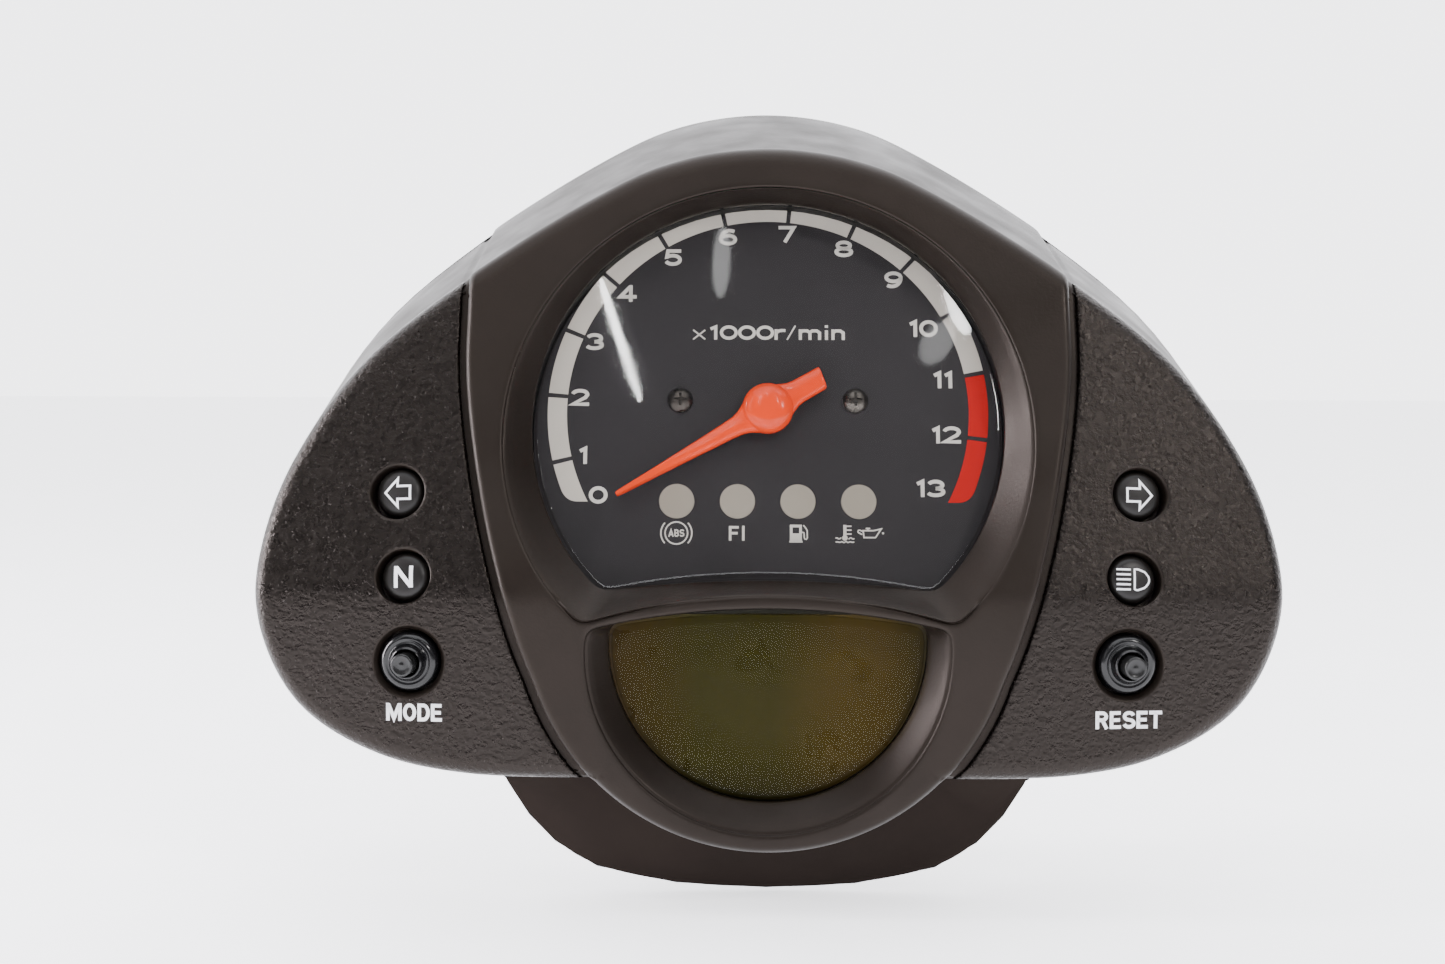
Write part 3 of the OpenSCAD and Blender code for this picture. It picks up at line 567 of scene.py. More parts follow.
def reach(loop, a):
    """Distance from (0, 0) to a loop in each direction a, clockwise from the top."""
    ta = np.arctan2(loop[:, 0], loop[:, 1]) % (2 * math.pi)
    order = np.argsort(ta)
    r = np.linalg.norm(loop, axis=1)[order]
    ta = ta[order]
    return np.interp(a, np.concatenate([ta - 2 * math.pi, ta, ta + 2 * math.pi]), np.tile(r, 3))


def union(loops, n=1400):
    """The outline round several loops that all hold (0, 0)."""
    a = np.linspace(0, 2 * math.pi, n, endpoint=False)
    return polar(np.max([reach(q, a) for q in loops], 0), a)


body_loop = resample(union([wing_loop, ring_loop]), 0.9)
panel_poly = resample(mirrored(panel_half), 0.8)
panel_loop = soften(resample(union([panel_poly, ring_loop]), 0.8), 6)
tach_out = d_window(*TACH_OPENING, up=1)
tach_in = d_window(*TACH_WINDOW, up=1)
tach_front = tilted(lifted(tach_out, 0))[:, ::2]
lcd_out = d_window(*LCD_OPENING, up=-1)
lcd_in = d_window(*LCD_WINDOW, up=-1)


def on_ring(p, slack):
    """Which (x, z) points belong to the collar's part of the lower edge."""
    return (p[:, 1] < -WING_DROP + slack) & (np.abs(p[:, 0]) < RING_HALF)


def face_depth(p):
    """Depth Y of the front surface at (x, z) points: panel, groove, wings and rounded edges."""
    fold = TT * soft_max(p[:, 1], FOLD_ROUND)
    back = TSW * soft_max(np.abs(p[:, 0]) - FOLD_X, SWEEP_ROUND)
    seam_d = signed(p, panel_loop)
    low = STEP + back
    beyond = np.where(seam_d < SEAM_GAP, low + GROOVE, low + 0.9 * fillet(seam_d - SEAM_GAP, LIP_ROUND))
    y = np.where(seam_d < 0.01, fillet(-seam_d, RIDGE), beyond)
    edge = -signed(p, body_loop)
    y = y + fold + np.where(on_ring(p, 1), fillet(edge, RING_EDGE), fillet(edge, EDGE_ROUND))
    for loop in (tach_front, lcd_out):
        y = y + 0.7 * fillet(signed(p, loop), LIP_ROUND)
    return y


# recess walls as (radius, depth): a straight hole for a telltale, a sloping lip around a button
LAMP_CUP = [(6.5, 0), (6.25, 0.1), (6.1, 0.3), (6.05, 0.6), (6.05, 5.2), (3.4, 5.4), (1.5, 5.5)]
BUTTON_CUP = [(8.3, 0), (8.05, 0.08), (7.8, 0.28), (7.4, 0.75), (7.1, 1.2), (7.0, 1.6), (7.0, 5.2),
              (4.4, 5.4)]
CUPS = [(side, True, q, LAMP_CUP) for side in (-1, 1) for q in LAMP_POS]
CUPS += [(side, False, (BTN_X, BTN_Z), BUTTON_CUP) for side in (-1, 1)]
CUP_POINTS = 96


def cup_ring(side, upper, q, radius, depth):
    """Circle about a telltale or button, at a depth behind the wing's surface."""
    circle = polar(radius, np.linspace(0, 2 * math.pi, CUP_POINTS, endpoint=False))
    return moved(lifted(circle + (side * q[0], q[1]), depth), wing(side, upper))


cup_loops = [cup_ring(side, upper, q, *wall[0])[:, [0, 2]] for side, upper, q, wall in CUPS]


def grid_points(x_from, x_to, x_step, z_from, z_to, z_step):
    """An even grid of (x, z) points."""
    x, z = np.meshgrid(np.arange(x_from, x_to, x_step), np.arange(z_from, z_to, z_step))
    return np.stack([x.ravel(), z.ravel()], 1)


# rows of points along the edges of the sheet: in from the outline, out from the seam, out from a window
EDGE_ROWS = (0.2, 0.5, 0.95, 1.5, 2.2, 3.2, 4.2)
SEAM_ROWS = (-2.2, -1.7, -1.3, -0.95, -0.6, -0.3, -0.1, 0.12, SEAM_GAP / 2, SEAM_GAP - 0.08, SEAM_GAP + 0.08,
             SEAM_GAP + 0.25, SEAM_GAP + 0.5, SEAM_GAP + 0.8, SEAM_GAP + 1.5)
WINDOW_ROWS = (0, 0.15, 0.4, 0.8, 1.6)
# the finer grid along the crease, up to this height, and the least distance between two points
FOLD_TOP = 6.5
POINT_GAP = 0.03


def front_points():
    """Points of the front surface: rows along every edge and seam, and a grid between them."""
    rows = [body_loop - off * outward(body_loop) for off in EDGE_ROWS]
    rows += [panel_loop + off * outward(panel_loop) for off in SEAM_ROWS]
    for loop in (tach_front, lcd_out):
        rows += [loop + off * outward(loop) for off in WINDOW_ROWS]
    for loop in cup_loops:
        centre = loop.mean(0)
        rows += [loop, centre + (loop - centre) * 1.12]
    coarse = grid_points(-118, 118, 2.4, -60, 104, 2.4)
    fold = grid_points(-114, 114, 1.6, -6, FOLD_TOP, 0.8)
    grid = np.vstack([coarse[np.abs(coarse[:, 1]) > FOLD_TOP], fold])
    near = np.minimum(np.abs(signed(grid, tach_front)), np.abs(signed(grid, lcd_out)))
    for loop in cup_loops:
        near = np.minimum(near, np.abs(signed(grid, loop)) + 0.6)
    grid = grid[(signed(grid, body_loop) < -5) & (np.abs(signed(grid, panel_loop)) > 3.4) & (near > 2.2)]
    rows = np.vstack(rows)
    pts = np.vstack([body_loop, rows[signed(rows, body_loop) < -0.12], grid])
    _, first = np.unique(np.round(pts / POINT_GAP).astype(int), axis=0, return_index=True)
    return pts[np.sort(first)]


def front_sheet():
    """The front surface with its windows and holes, and for each face 1 where it has the wings' grain."""
    v, f = triangles(front_points())
    mid = v[f].mean(1)
    keep = signed(mid, body_loop) < 0
    for loop in [tach_front, lcd_out, *cup_loops]:
        keep &= signed(mid, loop) > 0
    grained = signed(mid[keep], panel_loop) > SEAM_GAP - 0.1
    return lifted(v, face_depth(v)), f[keep], [int(g) for g in grained]


def side_wall():
    """The wall from the rounded front edge back to the parting plane, and its turn inside."""
    n_body = outward(body_loop)
    y0 = face_depth(body_loop)
    share = np.clip((body_loop[:, 1] - FLARE_FROM) / FLARE_OVER, 0, 1)
    rise = np.where(on_ring(body_loop, 0.5), 0, FLARE * share * share * (3 - 2 * share))
    rim_y = (RIM_D + (body_loop[:, 1] - rise * y0) * ST) / (CT - rise * ST)

    def ring(inset, y):
        lift = rise * (y - y0)
        return lifted(body_loop - inset * n_body, y) + np.outer(lift, (0, 0, 1))

    # the last three hundredths of the way turn in a little
    rings = [ring(0.35 * max(0, (k - 0.97) / 0.03), y0 + (rim_y - y0) * k)
             for k in (0, 0.03, 0.25, 0.5, 0.75, 0.975, 1.0)]
    return strips(rings + [ring(WALL, rim_y), ring(WALL, rim_y - 6)])


def surround(out, inn, depth, slant):
    """The slope from an opening in the front down to a window at the given depth."""
    a, b = resample(out, 0.5), resample(inn, 0.5)
    c = b.mean(0)
    # pair points by direction from the middle of the window
    th = np.arctan2(a[:, 0] - c[0], a[:, 1] - c[1])
    tb = np.arctan2(b[:, 0] - c[0], b[:, 1] - c[1])
    order = np.argsort(tb)
    around = np.concatenate([tb[order] - 2 * math.pi, tb[order], tb[order] + 2 * math.pi])
    b = np.stack([np.interp(th, around, np.tile(b[order, k], 3)) for k in (0, 1)], 1)

    def ring(p, d):
        return tilted(lifted(p, d)) if slant else lifted(p, d)

    # the slope starts a little lower than straight, which rounds its upper edge
    rings = [ring(a + (b - a) * k, depth * k + 0.56 * (1 - min(k / 0.15, 1)) ** 2)
             for k in (0.0, 0.06, 0.15, 0.4, 0.7, 0.9, 0.97, 1.0)] + [ring(b, depth + 1.0)]
    rings[0][:, 1] = face_depth(rings[0][:, [0, 2]])
    return strips(rings)


def recess(cup, loop):
    """The wall of one telltale's or button's hole, down from its edge in the front."""
    side, upper, q, wall = cup
    return strips([lifted(loop, face_depth(loop))] + [cup_ring(side, upper, q, *ring) for ring in wall[1:]])


def build_front():
    """The whole front cover as one mesh."""
    front, faces, grained = front_sheet()
    parts = [side_wall(), surround(tach_out, tach_in, TACH_DEPTH, True)]
    parts += [surround(lcd_out, lcd_in, LCD_DEPTH, False)]
    parts += [recess(cup, loop) for cup, loop in zip(CUPS, cup_loops)]
    plain = sum(len(f) for _, f in parts)
    v, f = join([(front, faces), *parts])
    return new_mesh("cover", v, f, [COVER, GRAIN], grained + [0] * plain, sharp=50)


cover = build_front()
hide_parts("front_cover")
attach(cover, "housing")

# ---------------- thin prints: scale, lettering, symbols
PRINT_T = 0.04


def thicken(flat, faces, t=PRINT_T):
    """A closed sheet of thickness t from a flat (x, z) mesh, on the plane y = 0 and facing -Y."""
    n = len(flat)
    verts = np.vstack([lifted(flat, -t), lifted(flat, 0)])
    out = [tuple(f) for f in faces] + [tuple(i + n for i in reversed(f)) for f in faces]
    edges = {pair: True for f in faces for pair in zip(f, [*f[1:], f[0]])}
    out += [(a, b, b + n, a + n) for a, b in edges if (b, a) not in edges]
    return verts, out


def stroke(points, width, closed=False, step=0.5):
    """A line of constant width as a flat mesh."""
    p = resample(np.asarray(points, float), step, closed)
    if closed:
        t = np.roll(p, -1, 0) - np.roll(p, 1, 0)
    else:
        t = np.gradient(p, axis=0)
    t /= np.maximum(np.linalg.norm(t, axis=1), 1e-9)[:, None]
    n = np.stack([-t[:, 1], t[:, 0]], 1) * width / 2
    return strips([p + n, p - n], closed)


def sharp_stroke(points, width, closed=True):
    """A line with mitred corners as a flat mesh, cut into short lengths."""
    p = np.asarray(points, float)
    m = len(p)
    a, b = [], []
    for i in range(m):
        before = p[i] - p[i - 1] if closed or i > 0 else p[1] - p[0]
        after = p[(i + 1) % m] - p[i] if closed or i < m - 1 else p[i] - p[i - 1]
        before, after = before / np.linalg.norm(before), after / np.linalg.norm(after)
        mid = before + after
        mid /= np.linalg.norm(mid)
        n = np.array([-mid[1], mid[0]]) * width / 2 / max(mid @ before, 0.35)
        a.append(p[i] + n)
        b.append(p[i] - n)
    fa, fb = [], []
    for i in range(m if closed else m - 1):
        j = (i + 1) % m
        for t in np.linspace(0, 1, 6)[:-1]:
            fa.append(a[i] + (a[j] - a[i]) * t)
            fb.append(b[i] + (b[j] - b[i]) * t)
    if not closed:
        fa.append(a[-1])
        fb.append(b[-1])
    return strips([np.array(fa), np.array(fb)], closed)


def fan(outline):
    """A filled flat shape."""
    return np.asarray(outline, float), [tuple(range(len(outline)))]


def arc(cx, cz, r, a0, a1, n=24):
    """Points on an arc; angles in degrees clockwise from up."""
    return polar(r, np.radians(np.linspace(a0, a1, n))) + (cx, cz)


def shifted(flat, dx, dz):
    """A flat shape moved on its plane."""
    return flat[0] + (dx, dz), flat[1]


def bow(cx, cz, rx, rz, a0, a1, n=20):
    """Points on an elliptical arc; angles in degrees clockwise from up."""
    return [tuple(p) for p in arc(0, 0, 1, a0, a1, n) * (rx, rz) + (cx, cz)]


# width and middle lines of each sign, in heights of a figure, about its middle
SIX = [bow(0, -0.15, 0.42, 0.25, 0, 342), bow(0.1, -0.1, 0.52, 0.5, -97, 30)]
SIGNS = {
    "0": (1.06, [bow(0, 0, 0.43, 0.4, 0, 342)]),
    "1": (0.62, [[(-0.22, 0.25), (0.08, 0.4), (0.08, -0.5)]]),
    "2": (1.10, [bow(0, 0.17, 0.42, 0.23, -80, 95) + [(0.30, -0.01), (-0.40, -0.4), (0.52, -0.4)]]),
    "3": (1.10, [bow(-0.04, 0.195, 0.39, 0.205, -72, 180), bow(-0.04, -0.2, 0.44, 0.2, 0, 252)]),
    "4": (1.12, [[(0.20, -0.5), (0.20, 0.5)], [(0.17, 0.42), (-0.40, -0.2), (0.54, -0.2)]]),
    "5": (1.10, [[(0.46, 0.4), (-0.30, 0.4), (-0.36, 0.04)] + bow(-0.02, -0.14, 0.42, 0.26, -42, 248)]),
    "6": (1.12, SIX),
    "7": (1.08, [[(-0.48, 0.4), (0.40, 0.4), (-0.12, -0.5)]]),
    "8": (1.12, [bow(0, 0.205, 0.37, 0.195, 0, 342), bow(0, -0.19, 0.44, 0.21, 0, 342)]),
    "9": (1.12, [[(-x, -z) for x, z in line] for line in SIX]),
    "x": (1.0, [[(-0.42, -0.48), (0.28, 0.18)], [(-0.42, 0.18), (0.28, -0.48)]]),
    "r": (0.66, [[(-0.22, -0.5), (-0.22, 0.24)],
                 [(-0.22, -0.02), (-0.08, 0.12), (0.08, 0.16), (0.32, 0.16)]]),
    "/": (0.66, [[(-0.24, -0.5), (0.24, 0.5)]]),
    "m": (1.52, [[(-0.56, -0.5), (-0.56, 0.24)]] + [
        [(x, 0.02), (x + 0.14, 0.14), (x + 0.40, 0.14), (x + 0.56, 0.0), (x + 0.56, -0.5)]
        for x in (-0.56, 0)]),
    "i": (0.40, [[(0, -0.5), (0, 0.18)], [(0, 0.36), (0, 0.54)]]),
    "n": (0.96, [[(-0.30, -0.5), (-0.30, 0.24)],
                 [(-0.30, 0.02), (-0.14, 0.14), (0.12, 0.14), (0.30, 0.0), (0.30, -0.5)]]),
    "A": (0.86, [[(-0.32, -0.5), (0, 0.42), (0.32, -0.5)], [(-0.22, -0.2), (0.22, -0.2)]]),
    "B": (0.80, [[(-0.24, 0.0), (-0.24, 0.4)] + bow(0.0, 0.2, 0.2, 0.2, 0, 180) + [(-0.24, 0)],
                 [(-0.24, -0.4), (-0.24, 0.0)] + bow(0.02, -0.2, 0.23, 0.2, 0, 180) + [(-0.24, -0.4)]]),
    "D": (0.80, [[(-0.25, -0.4), (-0.25, 0.4)] + bow(0, 0, 0.26, 0.4, 0, 180)]),
    "E": (0.72, [[(0.28, 0.4), (-0.23, 0.4), (-0.23, -0.4), (0.30, -0.4)], [(-0.23, 0), (0.24, 0)]]),
    "F": (0.72, [[(0.28, 0.4), (-0.23, 0.4), (-0.23, -0.5)], [(-0.23, 0), (0.22, 0)]]),
    "I": (0.40, [[(0, -0.5), (0, 0.5)]]),
    "M": (1.00, [[(-0.35, -0.5), (-0.35, 0.5)], [(0.35, -0.5), (0.35, 0.5)],
                 [(-0.32, 0.45), (0, -0.35), (0.32, 0.45)]]),
    "O": (0.82, [bow(0, 0, 0.28, 0.4, 0, 342)]),
    "R": (0.82, [[(-0.25, -0.5), (-0.25, 0.4)] + bow(0.02, 0.2, 0.22, 0.2, 0, 180) + [(-0.25, 0)],
                 [(0.02, 0.02), (0.28, -0.5)]]),
    "S": (0.78, [bow(0, 0.2, 0.25, 0.2, 75, -150) + bow(0, -0.2, 0.27, 0.2, 30, 255)]),
    "T": (0.76, [[(-0.36, 0.4), (0.36, 0.4)], [(0, 0.4), (0, -0.5)]])}
# signs whose first line closes on itself
RINGS = "0689DO"


def lettered(text, height, weight=0.2, width=None):
    """A line of the signs above as flat shapes, centred, optionally stretched to a width."""
    total = sum(SIGNS[c][0] for c in text)
    wide = width / total if width else height
    flats = []
    at = -total / 2
    for c in text:
        advance, lines = SIGNS[c]
        for k, line in enumerate(lines):
            p = np.array(line) * (wide, height) + ((at + advance / 2) * wide, 0)
            closed = c in RINGS and (k == 0 or c == "8")
            thin = 0.5 if c in "x/" else 1.0
            flats.append(sharp_stroke(p, weight * height * thin, closed))
        at += advance
    return flats


def printed(name, flats, place, mat, body="housing", dome=None):
    """A piece made of flat shapes laid on a plane, or on a shallow dome of the given radius."""
    parts = []
    for flat in flats:
        v, f = thicken(*flat)
        if dome:
            v[:, 1] += dome - np.sqrt(dome ** 2 - v[:, 0] ** 2 - v[:, 2] ** 2)
        parts.append((moved(v, place), f))
    v, f = join(parts)
    ob = new_mesh(name, v, f, [mat])
    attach(ob, body)


# scale: middle radius and width of the band, gap at each figure, degrees between figures and at seven
BAND_R, BAND_W, TICK = 48.1, 4.4, 1.0
TICK_STEP, TICK_SEVEN = 18.3, 5.9
# the band's two ends: cut level at this height, with the outer corner rounded over these
BAND_END = -21.1
CORNER_DEG, CORNER_X = 3.2, 2.6


def tick(i):
    """Direction of figure i from the hub, in degrees clockwise from up."""
    return TICK_SEVEN + TICK_STEP * (i - 7)


def band(i):
    """One division of the scale, between figure i and the next."""
    r0, r1 = BAND_R - BAND_W / 2, BAND_R + BAND_W / 2
    trim = math.degrees(TICK / 2 / BAND_R)
    a0, a1 = tick(i) + trim, tick(i + 1) - trim
    side = -1 if i == 0 else 1
    if i in (0, 12):
        cut0 = side * math.degrees(math.acos(BAND_END / r0))
        cut1 = side * (math.degrees(math.acos(BAND_END / r1)) - CORNER_DEG)
        start = a1 if i == 0 else a0
        corner = np.array([side * math.sqrt(r1 ** 2 - BAND_END ** 2), BAND_END])
        inner = arc(0, 0, r0, cut0, start)
        outer = arc(0, 0, r1, start, cut1)
        landing = corner - (side * CORNER_X, 0)
        t = np.linspace(0, 1, 9)[1:, None]
        bend = (1 - t) ** 2 * outer[-1] + 2 * t * (1 - t) * corner + t ** 2 * landing
        return fan(np.vstack([inner, outer, bend]))
    return fan(np.vstack([arc(0, 0, r0, a0, a1), arc(0, 0, r1, a1, a0)]))


DIAL_FACE = face_frame(0, DIAL_D, HUB_S)
printed("scale_grey", [band(i) for i in range(11)], DIAL_FACE, BAND)
printed("scale_red", [band(i) for i in (11, 12)], DIAL_FACE, RED)
# figures: radius of the ring for one and for two digits, direction of the zero, height and weight
FIGURE_R, WIDE_FIGURE_R, ZERO_DEG = 43.1, 41.0, -117
FIGURE_H, FIGURE_WEIGHT = 4.0, 0.21
# the unit above the hub: distance, height and width
UNIT_UP, UNIT_H, UNIT_W = 18.9, 3.4, 35.6
figures = []
for i in range(14):
    r = FIGURE_R if i < 10 else WIDE_FIGURE_R
    a = math.radians(tick(i) if i else ZERO_DEG)
    at = (r * math.sin(a), r * math.cos(a))
    figures += [shifted(q, *at) for q in lettered(str(i), FIGURE_H, FIGURE_WEIGHT)]
figures += [shifted(q, 0.3, UNIT_UP) for q in lettered("x1000r/min", UNIT_H, FIGURE_WEIGHT, UNIT_W)]
printed("figures", figures, DIAL_FACE, PRINT)

# symbols under the lamps, each about its own centre
SYMBOL_S = LAMP_S - 7.4
abs_lamp = [stroke(arc(0, 0, 2.55, 0, 360, 60)[:-1], 0.33, True), *lettered("ABS", 1.75, 0.19, 3.7)]
abs_lamp += [stroke(arc(0, 0, 3.5, side * 48, side * 132), 0.33) for side in (-1, 1)]
fi_lamp = lettered("FI", 3.4, 0.17, 4.2)
fuel = [fan([(-2.0, -2.1), (1.0, -2.1), (1.0, -1.7), (-2.0, -1.7)]),
        sharp_stroke([(-1.55, -1.7), (-1.55, 1.7), (0.55, 1.7), (0.55, -1.7)], 0.6),
        fan([(-1.4, 0.0), (0.4, 0.0), (0.4, -1.6), (-1.4, -1.6)]),
        stroke([
            (0.8, 0.3), (1.35, 0.2), (1.4, -1.2), (1.75, -1.5), (2.1, -1.2), (2.05, 0.8), (1.2, 1.9)], 0.3)]
# ripples of the liquid the thermometer stands in, the upper row broken by its bulb
wave = [(x / 10, 0.16 * math.sin(x * 0.6)) for x in range(-21, 22)]
temp = [sharp_stroke([(0, -0.9), (0, 2.0)], 0.7, False), fan(arc(0, -1.0, 0.62, 0, 360, 20)[:-1]),
        stroke([(0.3, 1.7), (1.5, 1.7)], 0.32), stroke([(0.3, 0.8), (1.5, 0.8)], 0.32),
        stroke([(0.3, -0.1), (1.5, -0.1)], 0.32),
        shifted(stroke(wave[:14], 0.28), 0, -1.1), shifted(stroke(wave[-14:], 0.28), 0, -1.1),
        shifted(stroke(wave, 0.28), 0, -1.95)]
oil = [sharp_stroke([(-1.5, 0.7), (0.9, 0.7), (2.6, 1.1), (1.3, -0.9), (-1.3, -0.9)], 0.32),
       stroke([(-1.5, 0.5), (-2.5, 0.9), (-2.7, 0.3), (-1.7, -0.2)], 0.3),
       stroke([(-0.4, 0.7), (-0.4, 1.15)], 0.32), stroke([(-0.9, 1.2), (0.1, 1.2)], 0.32),
       fan(arc(3.0, 0.1, 0.25, 0, 360, 14)[:-1])]
marks = []
for group, x in (
        (abs_lamp, LAMP_X[0]), (fi_lamp, LAMP_X[1]), (fuel, LAMP_X[2]), (temp, LAMP_X[3] - 3.2),
        (oil, LAMP_X[3] + 2.4)):
    marks += [shifted(q, x, SYMBOL_S - HUB_S) for q in group]
printed("lamp_symbols", marks, DIAL_FACE, PRINT)

# telltales of the wings: radius of the lens's dome, its depth in the hole, its lean to the side and back
DISC_DOME, DISC_D = 22.0, 0.45
DISC_ASIDE, DISC_BACK = math.radians(4), math.radians(5)
arrow = np.array([
    (2.95, 0), (0.1, 3.1), (0.1, 1.45), (-2.75, 1.45), (-2.75, -1.45), (0.1, -1.45), (0.1, -3.1)])
beam = [stroke([
    (0.15, 2.3), (1.0, 2.3), (2.6, 1.7), (3.5, 0.6), (3.6, 0), (3.5, -0.6), (2.6, -1.7), (1.0, -2.3),
    (0.15, -2.3)], 0.42, True)]
beam += [sharp_stroke([(-3.9, z), (-0.75, z)], 0.42, False) for z in (2.2, 1.1, 0, -1.1, -2.2)]
letter_n = [sharp_stroke([(x, -2.4), (x, 2.4)], 0.85, False) for x in (-1.75, 1.75)]
letter_n += [sharp_stroke([(-1.7, 2.15), (1.7, -2.15)], 0.95, False)]
DISC = [(r, r * r / (2 * DISC_DOME)) for r in (0.01, 1, 2, 3, 3.8)]
DISC += [(4.4, 0.58), (4.85, 0.92), (5.2, 1.4), (5.45, 2.0), (5.55, 2.8), (5.55, 4.6), (0.01, 4.7)]
for name, side, q, node, flats in (
        ("arrow_l", -1, LAMP_POS[0], "telltale_turn_l", [sharp_stroke(arrow * (-1, 1), 0.5)]),
        ("mark_n", -1, LAMP_POS[1], "telltale_neutral", letter_n),
        ("arrow_r", 1, LAMP_POS[0], "telltale_turn_r", [sharp_stroke(arrow, 0.5)]),
        ("mark_beam", 1, LAMP_POS[1], "telltale_high_beam", beam)):
    # the light guides are square to the board, so their ends sit lower on the outer side of the wing
    spot = (wing(side, True) @ Matrix.Translation((side * q[0], DISC_D, q[1]))
            @ Matrix.Rotation(side * DISC_ASIDE, 4, "Z") @ Matrix.Rotation(DISC_BACK, 4, "X"))
    disc = new_mesh("disc_" + name, *lathe(DISC, spot), [SMOKE], sharp=60)
    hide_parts(node)
    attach(disc, "housing")
    printed(name, flats, spot, WHITE_INK, dome=DISC_DOME)

# names of the two buttons
for side, text, x, z, w in ((-1, "MODE", 28.2, -26.4, 13.0), (1, "RESET", 29.6, -27.4, 15.3)):
    spot = wing(side, False) @ Matrix.Translation((side * x, 0.03, z))
    printed("name_" + text.lower(), lettered(text, 3.9, 0.2, w), spot, WHITE_INK)


# ---------------- needle
# depths of the needle's underside and face, height of its two chamfers, and the drop at its very ends
NEEDLE_UNDER, NEEDLE_FACE = 10.9, 9.25
CHAMFER_LOW, CHAMFER_HIGH, END_DROP = 0.75, 0.4, 0.12
# (distance from the hub, half width) along the arm and along the tail, whose end is cut at a slant
ARM = [(3.0, 4.6), (5.0, 3.5), (6.3, 2.75), (8.0, 2.25), (11, 2.0), (20, 1.5), (30, 1.0), (38.6, 0.62),
       (39.4, 0.5), (39.7, 0.3)]
TAIL = [(3.0, 4.6), (5.2, 3.5), (6.6, 2.9), (8.0, 2.7), (10.5, 2.65), (14.0, 2.6), (14.35, 2.5), (14.5, 2.3)]
TAIL_HALF, TAIL_SLANT = 2.6, 0.5
HUB = [(0.01, 7.35), (1.6, 7.37), (2.9, 7.5), (3.8, 7.78), (4.6, 8.15), (5.2, 8.6), (5.6, 9.1), (5.8, 9.7),
       (5.8, 11.3), (5.5, 11.7), (0.9, 11.8)]


def beam_of(stations, sign):
    """One half of the needle: eight-sided sections at each station, closed at both ends."""
    rings = []
    for k, (r, w) in enumerate(stations):
        slant = TAIL_SLANT * w / TAIL_HALF ** 2 if sign < 0 and r > 13 else 0
        high = NEEDLE_FACE + (END_DROP if k == len(stations) - 1 else 0)
        half = [(w, NEEDLE_UNDER), (w, high + CHAMFER_LOW), (w * 0.93, high + CHAMFER_HIGH), (w * 0.72, high)]
        section = [(-x, y) for x, y in half] + half[::-1]
        rings.append(np.array([(x * sign, y, sign * r + slant * x) for x, y in section]))
    v, f = strips(rings)
    last = len(v) - 8
    return v, f + [tuple(range(last, last + 8)), tuple(range(7, -1, -1))]


def needle():
    """Tapered arm with a chamfered back, a counterweight tail and a domed hub, about the shaft's axis."""
    v, f = join([beam_of(ARM, 1), beam_of(TAIL, -1), lathe(HUB, Matrix.Identity(4))])
    return moved(v, face_frame(0, 0, HUB_S, ZERO)), f


arm = new_mesh("pointer_arm", *needle(), [ORANGE], sharp=50)
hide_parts("needle", "needle_cap")
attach(arm, "pointer")

# ---------------- buttons
# (radius, depth) round each button's axis: the stepped rubber boot and the dished plunger
BOOT = [(2.9, 3.0), (2.9, -2.2), (3.0, -2.6), (3.2, -2.78), (3.45, -2.6), (3.7, -2.15), (3.9, -1.55),
        (4.1, -1.0), (4.35, -0.65), (4.6, -0.6), (4.95, -0.75), (5.35, -0.75), (5.8, -0.5), (6.2, -0.05),
        (6.5, 0.55), (6.6, 1.2), (6.6, 5.2)]
PLUNGER = [(0.01, -5.95), (0.3, -5.95), (0.45, -5.88), (0.7, -5.84), (1.5, -5.86), (1.7, -5.95),
           (1.95, -6.08), (2.2, -6.08), (2.42, -5.9), (2.5, -5.6), (2.5, 13.7), (2.2, 14.0), (0.01, 14.0)]
for side, word in ((-1, "mode"), (1, "reset")):
    spot = wing(side, False) @ Matrix.Translation((side * BTN_X, 0, BTN_Z))
    boot = new_mesh(word + "_gaiter", *lathe(BOOT, spot, 96), [RUBBER], sharp=60)
    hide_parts(word + "_boot")
    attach(boot, "housing")
    stem = new_mesh(word + "_stem", *lathe(PLUNGER, spot, 64), [GLOSS], sharp=60)
    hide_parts(word + "_plunger")
    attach(stem, word + "_button")


# ---------------- lenses
PANE_T, PANE_ROWS = 2.2, (0, 0.12, 0.3, 0.6, 1.0, 1.8)


def pane(name, outline, depth, edge, mat, place, node):
    """A clear pane with a rounded rim, whose front is at depth(x, z) before it is put in place."""
    rows = [outline - off * outward(outline) for off in PANE_ROWS]
    grid = grid_points(-60, 60, 3.0, -60, 110, 3.0)
    v, f = triangles(np.vstack(rows + [grid[signed(grid, outline) < -3.2]]))
    f = f[signed(v[f].mean(1), outline) < 0.0]
    y = depth(*v.T)
    front = lifted(v, y + fillet(-signed(v, outline), edge))
    rim = [lifted(outline, depth(*outline.T) + back) for back in (edge, PANE_T)]
    verts, faces = join([(front, f), (lifted(v, y + PANE_T), f[:, ::-1]), strips(rim)])
    ob = new_mesh(name, moved(verts, place), faces, [mat], sharp=70)
    smooth_normals(ob, outline, depth, edge, place)
    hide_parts(node)
    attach(ob, "housing")


def smooth_normals(ob, outline, depth, edge, place):
    """Gives a pane the exact normals of its depth function, except on the rounded rim."""
    local = moved(np.array([c.co for c in ob.data.vertices]) / MM + MOUNT_LOW, place.inverted())
    x, y, z = local.T
    h = 0.01
    out = np.stack([depth(x + h, z) - depth(x - h, z), 0 * x - 2 * h, depth(x, z + h) - depth(x, z - h)], 1)
    out = out / np.linalg.norm(out, axis=1)[:, None] @ np.array(place.to_3x3()).T
    side = np.where(y - depth(x, z) < PANE_T / 2, 1, -1) * (signed(local[:, ::2], outline) < -edge - 0.01)
    ob.data.normals_split_custom_set_from_vertices((out * side[:, None]).tolist())


